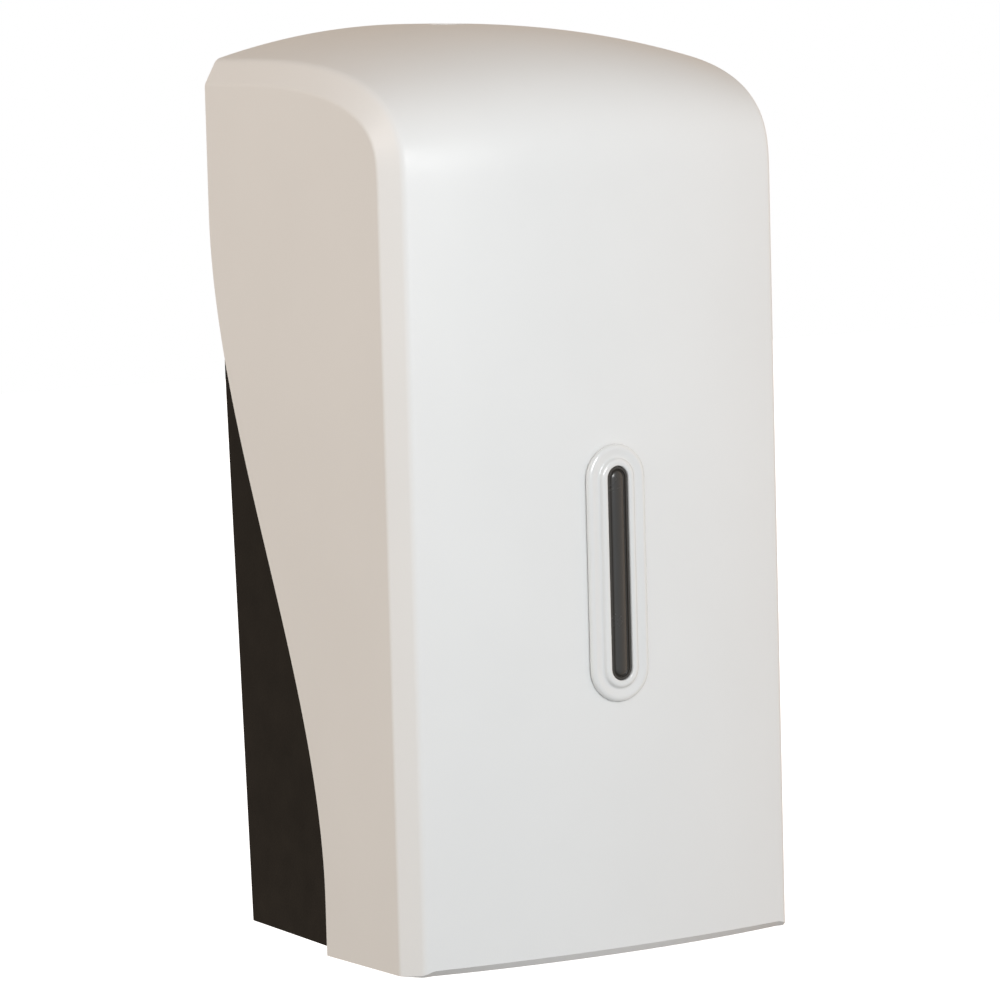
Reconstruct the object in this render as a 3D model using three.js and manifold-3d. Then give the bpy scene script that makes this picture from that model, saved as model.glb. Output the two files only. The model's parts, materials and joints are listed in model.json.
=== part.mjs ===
// Touch-free wall-mounted soap dispenser.
// Millimetres. The origin lies on the wall plane, at the middle of the back plate's rear face.
// +X is the viewer's right, +Y goes into the wall, +Z is up, and the front looks along -Y.

import * as THREE from 'three';
import { mergeVertices } from 'three/addons/utils/BufferGeometryUtils.js';
import Module from 'manifold-3d';

const wasm = await Module();
wasm.setup();

// ---------------------------------------------------------------- driving dimensions

const HEIGHT = 290;
const WIDTH = 144;
const DEPTH = 123;
const TOP = HEIGHT / 2;
const BOTTOM = -HEIGHT / 2;
const HALF_WIDTH = WIDTH / 2;
const GAP = 0.3;
const BEYOND = 10;

// Cover shell: a crowned band that runs forward over the top and down the front,
// with a narrow facet along each side of it and a flat side wall below the facet.
const COVER_WALL = 2.4;
const COVER_REAR = -1;
const FACET_ACROSS = 4.5;
const FACET_DOWN = 8;
const CROWN_FRONT = 9;
const CROWN_TOP = 9.4;
const CREASE_X = HALF_WIDTH - FACET_ACROSS;
const CREASE_FRONT = -(DEPTH - CROWN_FRONT);
const CREASE_TOP = TOP - CROWN_TOP;
const CORNER_DEPTH = 111;
const CORNER_HEIGHT = 41;
const CORNER_POWER = 3.1;
const SWEEP_TOP = 87;
const SWEEP_HEIGHT = 215;
const SWEEP_DEPTH = 61;

// Back plate: a flat plate with drafted side walls that tuck inside the cover.
const PLATE_THICK = 3;
const PLATE_TOP = 126;
const PLATE_BOTTOM = BOTTOM + 1.5;
const PLATE_HALF_TOP = 67.3;
const PLATE_HALF_BOTTOM = 63.3;
const PLATE_WIDE_Z = 35;
const TRAY_WALL = 2.4;
const TRAY_FRONT = -72;
const TRAY_HALF_FRONT = HALF_WIDTH - COVER_WALL - 0.5;
const TRAY_LAP = 10;
const WALL_HOLE_X = 40;
const WALL_HOLE_Z = [95, -55];
const WALL_HOLE_RADIUS = 2.5;
const SHELF_FRONT = -48;
const SHELF_THICK = 2.2;
const STRIKE_HALF = 4;
const STRIKE_FRONT = -26.5;
const STRIKE_Z = [119, 122];
const STRIKE_LIP = 2;
const STRIKE_TOP = 129;
const REST_X = [30, 34];
const REST_FRONT = -80;
const CLIP_THICK = 2;
const CLIP_FRONT = -40;
const CLIP_Z = [30, 60];

// Cover hinge, lock and level window.
const HINGE_Y = -67;
const HINGE_Z = -134;
const PIN_RADIUS = 2.25;
const LOCK_Y = -34;
const LOCK_RADIUS = 6;
const CAM_TOP = 133.3;
const CAM_THICK = 3;
const CAM_RADIUS = 8.5;
const CAM_ARM_HALF = 2.5;
const KEYWAY_HALF = 3.6;
const KEYWAY_WIDTH = 1.6;
const KEYWAY_DEPTH = 5;
const HOOK_IN = 11;
const HOOK_OUT = 14;
const HOOK_BOTTOM = 124;
const WINDOW_Z = -25;
const BEZEL_WIDTH = 21.6;
const BEZEL_HEIGHT = 80;
const SLOT_WIDTH = 7.6;
const SLOT_HEIGHT = 66.6;
const RIM_WIDTH = 12.5;
const RIM_HEIGHT = 72;
const PLATE_PROUD = 1.3;
const RIM_PROUD = 2.1;
const LENS_FLANGE_WIDTH = 15;
const LENS_FLANGE_HEIGHT = 74;
const LENS_BEAD_Y = -120.8;
const RETAINER_WIDTH = 20;
const RETAINER_HEIGHT = 79;
const RETAINER_REAR = -114.6;

// Reservoir.
const TANK_HALF = 50;
const TANK_REAR = -12;
const TANK_FRONT = -100;
const TANK_BOTTOM = -72;
const TANK_TOP = 104;
const TANK_WALL = 2;
const TANK_CORNER = 10;
const NECK_Y = -72;
const NECK_RADIUS = 20;
const NECK_TOP = 112;
const NECK_WALL = 2.4;
const THREAD_OUT = 0.9;
const THREAD_Z = [107, 108.6];
const OUTLET_RADIUS = 4.2;
const OUTLET_Y = -84;

// Drive module.
const CASE_HALF = 62;
const CASE_REAR = -18;
const CASE_FRONT = -104;
const CASE_TOP = -76;
const CASE_BOTTOM = -139;
const CASE_WALL = 1.6;
const FRONT_THICK = 2.3;
const SCREW_X = 50;
const SCREW_Z = [-84, -131];
const SCREW_RADIUS = 1.5;
const SCREW_HEAD_RADIUS = 3.5;
const SCREW_BOSS_RADIUS = 4;
const SCREW_RECESS = 1.6;
const SCREW_TIP = -15;

// Gear train: motor pinion, compound idler, drive gear on the pump rotor. Gear module 1 mm.
const PINION_TEETH = 10;
const IDLER_TEETH = 30;
const DRIVE_TEETH = 36;
const ROTOR_X = 8;
const ROTOR_Z = -105;
const IDLER_Z = -98;
const DRIVE_SPACING = (PINION_TEETH + DRIVE_TEETH) / 2;
const MOTOR_SPACING = (PINION_TEETH + IDLER_TEETH) / 2;
const IDLER_X = ROTOR_X - Math.sqrt(DRIVE_SPACING ** 2 - (IDLER_Z - ROTOR_Z) ** 2);
const MOTOR_X = IDLER_X - MOTOR_SPACING;
const GEAR_PLATE_FRONT = -75.5;
const GEAR_PLATE_REAR = -73;
const FRAME_FRONT = -54.5;
const FRAME_REAR = -52.5;
const MOTOR_RADIUS = 12;
const MOTOR_Y = [-52.2, -22];
const MOTOR_BOSS_RADIUS = 3;
const MOTOR_BOSS_REAR = -20;
const MOTOR_SHAFT_RADIUS = 1;
const MOTOR_SHAFT_Y = [-60.6, -46.6];
const IDLER_PIN_RADIUS = 1.45;
const IDLER_PIN_Y = [-75.2, -52.8];

// Peristaltic pump: three rollers squeeze a tube against a round race.
const TUBE_RADIUS = 3;
const TUBE_BORE = 1.6;
const ROLLER_RADIUS = 3.5;
const ROLLER_ORBIT = 9;
const ROLLER_COUNT = 3;
const TUBE_ARC = ROLLER_ORBIT + ROLLER_RADIUS + TUBE_RADIUS + GAP;
const TUBE_BEND = ROTOR_X;
const RACE_RADIUS = TUBE_ARC + TUBE_RADIUS + GAP;
const PUMP_FRONT = -92.5;
const PUMP_LEFT = -12.6;
const PUMP_RIGHT = ROTOR_X + RACE_RADIUS + 1.4;
const PUMP_Z = [-126.2, -83.8];
const PUMP_LID = 2;
const PUMP_SCREW_RADIUS = 1.3;
const ROTOR_SHAFT_RADIUS = 3.1;
const ROTOR_NOSE_RADIUS = 2.6;

// Four AA cells, two in a tray on each side of the pump.
const CELL_RADIUS = 7.1;
const CELL_LENGTH = 50.5;
const CELL_PITCH = 14.4;
const CELL_INNER_X = 37.35;
const CELL_Y = -95.5;
const CELL_BOTTOM = -131.3;
const CELL_BARE = 49.5;
const BUTTON_RADIUS = 2.7;

// ---------------------------------------------------------------- materials

function material(colour, roughness, metalness = 0) {
  return new THREE.MeshStandardMaterial({ color: colour, roughness, metalness });
}

const WHITE_SHELL = material('#e6e4df', 0.45);
const DARK_SHELL = material('#2a2826', 0.6);
const BEZEL_WHITE = material('#eceae6', 0.25);
const SMOKED = material('#3c3834', 0.15);
const TANK_PLASTIC = material('#d8dcd8', 0.35);
const GREY_PLASTIC = material('#8d9093', 0.55);
const BLUE_PLASTIC = material('#39658c', 0.5);
const ACETAL = material('#efe9d8', 0.4);
const STEEL = material('#b9bcc0', 0.3, 1);
const BRASS = material('#b98f4a', 0.35, 1);
const RUBBER = material('#35322f', 0.8);
const SILICONE = material('#cfd3cc', 0.5);
const BOARD_GREEN = material('#1f5b3a', 0.5);
const CELL_WRAP = material('#3f4a55', 0.35, 0.2);
const LED_GREEN = material('#7fd08a', 0.2);

// ---------------------------------------------------------------- solids and joins

function withoutSlivers(index, positions) {
  const kept = [];
  for (let i = 0; i < index.length; i += 3) {
    const [a, b, c] = [index[i], index[i + 1], index[i + 2]];
    if (a !== b && b !== c && c !== a) kept.push(a, b, c);
  }
  let volume = 0;
  for (let i = 0; i < kept.length; i += 3) {
    const [p, q, r] = [0, 1, 2].map((k) => new THREE.Vector3().fromArray(positions, kept[i + k] * 3));
    volume += p.dot(q.cross(r));
  }
  if (volume > 0) return kept;
  return kept.reverse();
}

function toSolid(geometry) {
  const bare = new THREE.BufferGeometry();
  bare.setAttribute('position', geometry.getAttribute('position').clone());
  if (geometry.index) bare.setIndex(geometry.index.clone());
  const merged = mergeVertices(bare, 1e-4);
  const vertProperties = new Float32Array(merged.getAttribute('position').array);
  const triVerts = new Uint32Array(withoutSlivers(Array.from(merged.index.array), vertProperties));
  return new wasm.Manifold(new wasm.Mesh({ numProp: 3, vertProperties, triVerts }));
}

function toGeometry(solid) {
  const mesh = solid.getMesh();
  const geometry = new THREE.BufferGeometry();
  geometry.setAttribute('position', new THREE.BufferAttribute(new Float32Array(mesh.vertProperties), 3));
  geometry.setIndex(new THREE.BufferAttribute(new Uint32Array(mesh.triVerts), 1));
  geometry.computeVertexNormals();
  return geometry;
}

function join(...solids) {
  return solids.reduce((sum, piece) => sum.add(piece));
}

function cut(solid, ...tools) {
  return tools.reduce((rest, tool) => rest.subtract(tool), solid);
}

function block(x0, x1, y0, y1, z0, z1) {
  const geometry = new THREE.BoxGeometry(Math.abs(x1 - x0), Math.abs(y1 - y0), Math.abs(z1 - z0));
  return toSolid(geometry.translate((x0 + x1) / 2, (y0 + y1) / 2, (z0 + z1) / 2));
}

// A rod along one axis; a and b are its place on the other two axes, in x, y, z order.
function rod(axis, radius, from, to, a, b, sides = 20) {
  const geometry = new THREE.CylinderGeometry(radius, radius, Math.abs(to - from), sides);
  const middle = (from + to) / 2;
  if (axis === 'x') geometry.rotateZ(-Math.PI / 2).translate(middle, a, b);
  if (axis === 'y') geometry.translate(a, middle, b);
  if (axis === 'z') geometry.rotateX(Math.PI / 2).translate(a, b, middle);
  return toSolid(geometry);
}

// A turned piece about the Y axis of its own frame; the profile is [radius, height] pairs.
function turned(profile, sides = 20) {
  return new THREE.LatheGeometry(profile.map(([r, h]) => new THREE.Vector2(r, h)), sides);
}

function outline(points) {
  return new THREE.Shape(points.map(([u, v]) => new THREE.Vector2(u, v)));
}

function roundedRectangle(width, height, radius) {
  const x = width / 2 - radius;
  const y = height / 2 - radius;
  const shape = new THREE.Shape();
  shape.absarc(x, y, radius, 0, Math.PI / 2);
  shape.absarc(-x, y, radius, Math.PI / 2, Math.PI);
  shape.absarc(-x, -y, radius, Math.PI, 1.5 * Math.PI);
  shape.absarc(x, -y, radius, 1.5 * Math.PI, 2 * Math.PI);
  return shape;
}

function extruded(shape, depth, curveSegments) {
  return new THREE.ExtrudeGeometry(shape, { depth, bevelEnabled: false, curveSegments });
}

// Prisms along each axis. The shape lies in the plane of the other two axes.
function prismX(shape, x0, x1) {
  const turn = new THREE.Matrix4().makeRotationFromEuler(new THREE.Euler(Math.PI / 2, 0, Math.PI / 2, 'ZYX'));
  return toSolid(extruded(shape, x1 - x0, 1).applyMatrix4(turn).translate(x0, 0, 0));
}

function prismY(shape, rear, front, x = 0, z = 0, segments = 5) {
  return toSolid(extruded(shape, rear - front, segments).rotateX(Math.PI / 2).translate(x, rear, z));
}

function prismZ(shape, z0, z1, x = 0, y = 0, segments = 4) {
  return toSolid(extruded(shape, z1 - z0, segments).translate(x, y, z0));
}

// A closed loft through rings of equal count, with a flat end at each side.
function loft(rings) {
  const count = rings[0].length;
  const positions = rings.flat(2);
  const index = [];
  for (let r = 0; r < rings.length - 1; r += 1) {
    for (let i = 0; i < count; i += 1) {
      const [a, b] = [r * count + i, r * count + (i + 1) % count];
      index.push(a, b, b + count, a, b + count, a + count);
    }
  }
  const last = (rings.length - 1) * count;
  for (let i = 1; i < count - 1; i += 1) {
    index.push(0, i + 1, i);
    index.push(last, last + i, last + i + 1);
  }
  const geometry = new THREE.BufferGeometry();
  geometry.setAttribute('position', new THREE.BufferAttribute(new Float32Array(positions), 3));
  geometry.setIndex(index);
  return toSolid(geometry);
}

// ---------------------------------------------------------------- assembly

const dispenser = new THREE.Group();

function place(name, solid, look, position = [0, 0, 0], parent = dispenser) {
  const geometry = solid.isBufferGeometry ? toGeometry(toSolid(solid)) : toGeometry(solid);
  const mesh = new THREE.Mesh(geometry, look);
  mesh.name = name;
  mesh.position.set(...position);
  parent.add(mesh);
  return mesh;
}

function group(x, y, z) {
  const frame = new THREE.Group();
  frame.position.set(x, y, z);
  dispenser.add(frame);
  return frame;
}

const SIDES = [['left', -1], ['right', 1]];

// ---------------------------------------------------------------- cover

// The crease where band meets facet, from the wall over the top to the bottom edge.
// Each entry is [y, z, outward y, outward z].
function creasePath(rear, bottom) {
  const steps = 16;
  const start = CREASE_FRONT + CORNER_DEPTH;
  const base = CREASE_TOP - CORNER_HEIGHT;
  const path = [[rear, CREASE_TOP, 0, 1]];
  for (let i = 0; i <= steps; i += 1) {
    const t = (i / steps) * Math.PI / 2;
    const forward = Math.sin(t) ** (2 / CORNER_POWER);
    const upward = Math.max(Math.cos(t), 0) ** (2 / CORNER_POWER);
    const normal = new THREE.Vector2(
      -(forward ** (CORNER_POWER - 1)) / CORNER_DEPTH,
      upward ** (CORNER_POWER - 1) / CORNER_HEIGHT,
    ).normalize();
    path.push([start - CORNER_DEPTH * forward, base + CORNER_HEIGHT * upward, normal.x, normal.y]);
  }
  path.push([CREASE_FRONT, bottom, -1, 0]);
  return path;
}

// Across the band: [x, height over the crease] from one side wall to the other.
function bandSection(inset) {
  const tilt = Math.hypot(FACET_ACROSS, FACET_DOWN);
  const slope = FACET_DOWN / FACET_ACROSS;
  const creaseX = CREASE_X - inset * 0.7;
  const facetX = CREASE_X - (inset * FACET_DOWN) / tilt;
  const creaseDrop = (-inset * FACET_ACROSS) / tilt - slope * (creaseX - facetX);
  const sideX = HALF_WIDTH - inset;
  const sideDrop = creaseDrop - slope * (sideX - creaseX);
  const steps = 14;
  const section = [[-sideX, sideDrop, 0], [-creaseX, creaseDrop, 0]];
  for (let i = 1; i < steps; i += 1) {
    const x = -creaseX + (2 * creaseX * i) / steps;
    section.push([x, creaseDrop, 1 - (x / creaseX) ** 2]);
  }
  section.push([creaseX, creaseDrop, 0], [sideX, sideDrop, 0]);
  return section;
}

function coverBlock(inset, rear, bottom) {
  const path = creasePath(rear, bottom);
  const rings = bandSection(inset).map(([x, drop, crown]) => {
    const ring = path.map(([y, z, outY, outZ]) => {
      const height = drop + crown * (CROWN_FRONT + (CROWN_TOP - CROWN_FRONT) * outZ);
      return [x, y + outY * height, z + outZ * height];
    });
    ring.push([x, rear, bottom]);
    return ring;
  });
  return loft(rings);
}

function smoothstep(t) {
  const s = Math.min(Math.max(t, 0), 1);
  return s * s * (3 - 2 * s);
}

// Rear edge of the cover's side wall: at the wall above, sweeping forward to the bottom.
function sweepY(z) {
  return COVER_REAR - SWEEP_DEPTH * smoothstep((SWEEP_TOP - z) / SWEEP_HEIGHT);
}

function sweepSteps(from, to, count) {
  return Array.from({ length: count + 1 }, (_, i) => from + ((to - from) * i) / count);
}

function sideSweepCutter() {
  const behind = 30;
  const edge = sweepSteps(SWEEP_TOP, SWEEP_TOP - SWEEP_HEIGHT, 20).map((z) => [sweepY(z), z]);
  const below = BOTTOM - BEYOND;
  return prismX(outline([...edge, [sweepY(below), below], [behind, below], [behind, SWEEP_TOP]]),
    -WIDTH, WIDTH);
}

// An arm inside each side wall that reaches back to the hinge pin.
const LUG_IN = 62.6;
const LUG_OUT = 65.3;
const LUG_RADIUS = 6.5;
const LUG_FRONT = -84;
const LUG_BLOCK_REAR = HINGE_Y - 8;
const LUG_BOTTOM = HINGE_Z - 2;

function hingeLug(side) {
  const top = HINGE_Z + LUG_RADIUS;
  const arm = block(side * LUG_IN, side * LUG_OUT, LUG_FRONT, HINGE_Y, LUG_BOTTOM, top);
  const root = block(side * LUG_IN, side * (HALF_WIDTH - 1), LUG_FRONT, LUG_BLOCK_REAR, LUG_BOTTOM, top);
  const eye = rod('x', LUG_RADIUS, side * LUG_IN, side * LUG_OUT, HINGE_Y, HINGE_Z, 24);
  const hole = rod('x', PIN_RADIUS + 0.35, side * 60, side * 67, HINGE_Y, HINGE_Z, 20);
  return cut(join(arm, root, eye), hole);
}

const BEZEL_STEM_WIDTH = 11.5;
const BEZEL_STEM_HEIGHT = 70.5;
const STEM_ROOM = 0.7;

function pill(width, height) {
  return roundedRectangle(width, height, width / 2 - 0.01);
}

function frontCover() {
  const outer = coverBlock(0, COVER_REAR, BOTTOM);
  const inner = coverBlock(COVER_WALL, BEYOND, BOTTOM - BEYOND);
  const holeShape = pill(BEZEL_STEM_WIDTH + STEM_ROOM, BEZEL_STEM_HEIGHT + STEM_ROOM);
  const windowHole = prismY(holeShape, -DEPTH + BEYOND, -DEPTH - BEYOND, 0, WINDOW_Z);
  const lockBoss = rod('z', LOCK_RADIUS + 3, CAM_TOP + 0.7, TOP - 1.5, 0, LOCK_Y);
  const lockHole = rod('z', LOCK_RADIUS + GAP, CAM_TOP - BEYOND, TOP + BEYOND, 0, LOCK_Y, 24);
  const shell = cut(outer, inner, sideSweepCutter());
  return cut(join(shell, lockBoss, hingeLug(-1), hingeLug(1)), windowHole, lockHole);
}

place('front_cover', frontCover(), WHITE_SHELL);

// ---------------------------------------------------------------- level window

const BEZEL_REAR = -(DEPTH + GAP);
const LENS_RADIUS = SLOT_WIDTH / 2 - GAP;
const LENS_FLANGE_FRONT = -118.2;
const LENS_FLANGE_REAR = -116.6;

function windowSlot() {
  return prismY(pill(SLOT_WIDTH, SLOT_HEIGHT), RETAINER_REAR + BEYOND, -DEPTH - BEYOND, 0, WINDOW_Z);
}

function windowBezel() {
  const plate = prismY(pill(BEZEL_WIDTH, BEZEL_HEIGHT), BEZEL_REAR, BEZEL_REAR - PLATE_PROUD, 0, WINDOW_Z);
  const rim = prismY(pill(RIM_WIDTH, RIM_HEIGHT), BEZEL_REAR - 1, BEZEL_REAR - RIM_PROUD, 0, WINDOW_Z);
  const stemShape = pill(BEZEL_STEM_WIDTH, BEZEL_STEM_HEIGHT);
  const stem = prismY(stemShape, LENS_FLANGE_FRONT - GAP, BEZEL_REAR, 0, WINDOW_Z);
  return cut(join(plate, rim, stem), windowSlot());
}

function windowLens() {
  const straight = SLOT_HEIGHT - SLOT_WIDTH;
  const bar = new THREE.CapsuleGeometry(LENS_RADIUS, straight, 3, 12);
  const bead = toSolid(bar.rotateX(Math.PI / 2).translate(0, LENS_BEAD_Y, WINDOW_Z));
  const flangeShape = pill(LENS_FLANGE_WIDTH, LENS_FLANGE_HEIGHT);
  const flange = prismY(flangeShape, LENS_FLANGE_REAR, LENS_FLANGE_FRONT, 0, WINDOW_Z);
  const behind = block(-SLOT_WIDTH, SLOT_WIDTH, LENS_FLANGE_REAR, LENS_FLANGE_REAR + BEYOND,
    WINDOW_Z - SLOT_HEIGHT, WINDOW_Z + SLOT_HEIGHT);
  return cut(join(bead, flange), behind);
}

function lensRetainer() {
  const shape = pill(RETAINER_WIDTH, RETAINER_HEIGHT);
  const plate = prismY(shape, RETAINER_REAR, LENS_FLANGE_REAR + GAP, 0, WINDOW_Z);
  return cut(plate, windowSlot());
}

place('window_bezel', windowBezel(), BEZEL_WHITE);
place('window_lens', windowLens(), SMOKED);
place('lens_retainer', lensRetainer(), GREY_PLASTIC);

// ---------------------------------------------------------------- lock

const lockFrame = group(0, LOCK_Y, 0);

function lockPlug() {
  const plug = rod('z', LOCK_RADIUS, CAM_TOP + GAP, TOP - 0.1, 0, 0, 24);
  const half = KEYWAY_WIDTH / 2;
  const keyway = block(-KEYWAY_HALF, KEYWAY_HALF, -half, half, TOP - KEYWAY_DEPTH, TOP + 1);
  const screwHole = rod('z', SCREW_RADIUS + GAP, CAM_TOP - 1, TOP - KEYWAY_DEPTH - 0.5, 0, 0, 12);
  return cut(plug, keyway, screwHole);
}

function lockCam() {
  const bottom = CAM_TOP - CAM_THICK;
  const disc = rod('z', CAM_RADIUS, bottom, CAM_TOP, 0, 0);
  const arm = block(0, HOOK_OUT, -CAM_ARM_HALF, CAM_ARM_HALF, bottom, CAM_TOP);
  const hook = block(HOOK_IN, HOOK_OUT, -CAM_ARM_HALF, CAM_ARM_HALF, HOOK_BOTTOM, CAM_TOP);
  const hole = rod('z', SCREW_RADIUS + GAP, bottom - 1, CAM_TOP + 1, 0, 0, 12);
  return cut(join(disc, arm, hook), hole);
}

function lockCamScrew() {
  const bottom = CAM_TOP - CAM_THICK - GAP;
  const head = rod('z', 3.2, bottom - 2.2, bottom, 0, 0, 16);
  const shank = rod('z', SCREW_RADIUS, bottom - 1, TOP - 6.2, 0, 0, 12);
  const recess = block(-0.5, 0.5, -2, 2, bottom - 3, bottom - 1.3);
  return cut(join(head, shank), recess);
}

place('lock_plug', lockPlug(), WHITE_SHELL, [0, 0, 0], lockFrame);
place('lock_cam', lockCam(), GREY_PLASTIC, [0, 0, 0], lockFrame);
place('lock_cam_screw', lockCamScrew(), STEEL, [0, 0, 0], lockFrame);

// ---------------------------------------------------------------- back plate and hinge pins

function plateHalf(z) {
  const t = Math.min(Math.max((z - PLATE_BOTTOM) / (PLATE_WIDE_Z - PLATE_BOTTOM), 0), 1);
  return PLATE_HALF_BOTTOM + (PLATE_HALF_TOP - PLATE_HALF_BOTTOM) * t;
}

function backPanel() {
  const right = [
    [PLATE_HALF_BOTTOM, PLATE_BOTTOM], [PLATE_HALF_TOP, PLATE_WIDE_Z],
    [PLATE_HALF_TOP, PLATE_TOP - 8], [PLATE_HALF_TOP - 5, PLATE_TOP],
  ];
  const left = right.map(([x, z]) => [-x, z]).reverse();
  return loft([0, -PLATE_THICK].map((y) => [...right, ...left].map(([x, z]) => [x, y, z])));
}

// The wall leans outward from the panel to the cover and stops a lap inside the cover's edge.
function traySide(side) {
  const rings = sweepSteps(PLATE_BOTTOM, SWEEP_TOP, 16).map((z) => {
    const half = plateHalf(z);
    const front = sweepY(z) - TRAY_LAP;
    const reach = half + (TRAY_HALF_FRONT - half) * (front / TRAY_FRONT);
    const corners = [[half, 0], [reach, front], [reach - TRAY_WALL, front], [half - TRAY_WALL, 0]];
    return corners.map(([x, y]) => [side * x, y, z]);
  });
  return loft(rings);
}

// Room for the foot of the cover's hinge arm as it swings down.
function hingeNotch(side) {
  const room = block(side * 60, side * 72, -90, HINGE_Y + 3, HINGE_Z - 20, HINGE_Z);
  return cut(room, rod('x', 7.2, side * 59, side * 73, HINGE_Y, HINGE_Z, 24));
}

function strikeBracket() {
  const arm = block(-STRIKE_HALF, STRIKE_HALF, STRIKE_FRONT, -1, ...STRIKE_Z);
  const lip = block(-STRIKE_HALF, STRIKE_HALF, STRIKE_FRONT, STRIKE_FRONT + STRIKE_LIP,
    STRIKE_Z[0], STRIKE_TOP);
  return join(arm, lip);
}

function backPlate() {
  const shelfHalf = PLATE_HALF_BOTTOM - 1;
  const shelf = block(-shelfHalf, shelfHalf, SHELF_FRONT, -1, PLATE_BOTTOM, PLATE_BOTTOM + SHELF_THICK);
  let plate = join(backPanel(), traySide(-1), traySide(1), shelf, strikeBracket());
  for (const [, side] of SIDES) {
    const clipX = TANK_HALF + 0.4;
    const tankRest = block(side * REST_X[0], side * REST_X[1], REST_FRONT, -1,
      CASE_TOP + GAP, TANK_BOTTOM - GAP);
    const tankClip = block(side * clipX, side * (clipX + CLIP_THICK), CLIP_FRONT, -1, ...CLIP_Z);
    plate = join(plate, tankRest, tankClip);
    plate = cut(plate, hingeNotch(side), rod('x', PIN_RADIUS + 0.25, side * 60, side * 72, HINGE_Y, HINGE_Z));
    for (const z of WALL_HOLE_Z) {
      plate = cut(plate, rod('y', WALL_HOLE_RADIUS, -5, 1, side * WALL_HOLE_X, z, 16));
    }
    for (const z of SCREW_Z) {
      plate = cut(plate, rod('y', SCREW_RADIUS + GAP, -5, 1, side * SCREW_X, z, 12));
      plate = cut(plate, rod('y', SCREW_BOSS_RADIUS, -SCREW_RECESS, 1, side * SCREW_X, z, 16));
    }
  }
  return plate;
}

place('back_plate', backPlate(), DARK_SHELL);

for (const [name, side] of SIDES) {
  const pin = rod('x', PIN_RADIUS, side * (LUG_IN - 0.4), side * (TRAY_HALF_FRONT + 0.2), 0, 0, 20);
  place(`hinge_pin_${name}`, pin, STEEL, [0, HINGE_Y, HINGE_Z]);
}

// ---------------------------------------------------------------- reservoir

function reservoirTank() {
  const depth = TANK_REAR - TANK_FRONT;
  const middle = (TANK_REAR + TANK_FRONT) / 2;
  const body = prismZ(roundedRectangle(2 * TANK_HALF, depth, TANK_CORNER), TANK_BOTTOM, TANK_TOP, 0, middle);
  const room = prismZ(
    roundedRectangle(2 * (TANK_HALF - TANK_WALL), depth - 2 * TANK_WALL, TANK_CORNER - TANK_WALL),
    TANK_BOTTOM + TANK_WALL, TANK_TOP - TANK_WALL, 0, middle,
  );
  const neck = rod('z', NECK_RADIUS, TANK_TOP - 1, NECK_TOP, 0, NECK_Y, 24);
  const thread = rod('z', NECK_RADIUS + THREAD_OUT, ...THREAD_Z, 0, NECK_Y, 24);
  const mouth = rod('z', NECK_RADIUS - NECK_WALL, TANK_TOP - BEYOND, NECK_TOP + BEYOND, 0, NECK_Y, 24);
  const outlet = rod('z', OUTLET_RADIUS, TANK_BOTTOM - 5, TANK_BOTTOM + 5, 0, OUTLET_Y, 16);
  return cut(join(body, neck, thread), room, mouth, outlet);
}

const CAP_RADIUS = 23.4;
const CAP_BOTTOM = 105;
const CAP_TOP = 118;
const CAP_LOBES = 18;
const CAP_LOBE_DEPTH = 0.9;
const GRIP_HALF_LENGTH = 17;
const GRIP_HALF_WIDTH = 2.5;
const GRIP_HEIGHT = 4;

function knurledOutline(radius, lobes, depth) {
  const points = [];
  for (let i = 0; i < lobes * 4; i += 1) {
    const angle = (i / (lobes * 4)) * 2 * Math.PI;
    const reach = radius - (i % 4 === 0 ? depth : 0);
    points.push([reach * Math.cos(angle), reach * Math.sin(angle)]);
  }
  return outline(points);
}

function fillerCap() {
  const body = prismZ(knurledOutline(CAP_RADIUS, CAP_LOBES, CAP_LOBE_DEPTH), CAP_BOTTOM, CAP_TOP);
  const room = rod('z', NECK_RADIUS + 1.5, CAP_BOTTOM - 1, NECK_TOP + 2.6, 0, 0, 24);
  const grip = block(-GRIP_HALF_LENGTH, GRIP_HALF_LENGTH, -GRIP_HALF_WIDTH, GRIP_HALF_WIDTH,
    CAP_TOP - 0.5, CAP_TOP + GRIP_HEIGHT);
  return join(cut(body, room), grip);
}

function ringSolid(inner, outer, from, to, sides = 20) {
  return turned([[inner, from], [outer, from], [outer, to], [inner, to], [inner, from]], sides);
}

function ringUp(inner, outer, from, to, sides = 20) {
  return toSolid(ringSolid(inner, outer, from, to, sides).rotateX(Math.PI / 2));
}

// Both spigots that the pump tube pushes onto.
const SPIGOT_RADIUS = 1.25;
const SPIGOT_BORE = 0.7;
const FITTING_TOP = TANK_BOTTOM - 1.9;
const FITTING_STEM = 3.8;
const FITTING_FLANGE = 8;

function outletFitting() {
  const stem = rod('z', FITTING_STEM, FITTING_TOP - 1, TANK_BOTTOM + 3, 0, 0, 16);
  const flange = rod('z', FITTING_FLANGE, FITTING_TOP - 2.5, FITTING_TOP, 0, 0, 20);
  const nipple = rod('z', SPIGOT_RADIUS, FITTING_TOP - 6.8, FITTING_TOP - 2, 0, 0, 12);
  const bore = rod('z', SPIGOT_BORE, FITTING_TOP - BEYOND, TANK_BOTTOM + 5, 0, 0, 8);
  return cut(join(stem, flange, nipple), bore);
}

place('reservoir_tank', reservoirTank(), TANK_PLASTIC);
place('filler_cap', fillerCap(), BLUE_PLASTIC, [0, NECK_Y, 0]);
place('filler_cap_seal', ringUp(NECK_RADIUS - 2.2, NECK_RADIUS, NECK_TOP + GAP, NECK_TOP + 2.3, 24),
  RUBBER, [0, NECK_Y, 0]);
place('outlet_fitting', outletFitting(), ACETAL, [0, OUTLET_Y, 0]);
place('outlet_seal', ringUp(OUTLET_RADIUS, FITTING_FLANGE - 0.5, FITTING_TOP + GAP, TANK_BOTTOM - GAP, 16),
  RUBBER, [0, OUTLET_Y, 0]);

// ---------------------------------------------------------------- drive module housings

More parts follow.
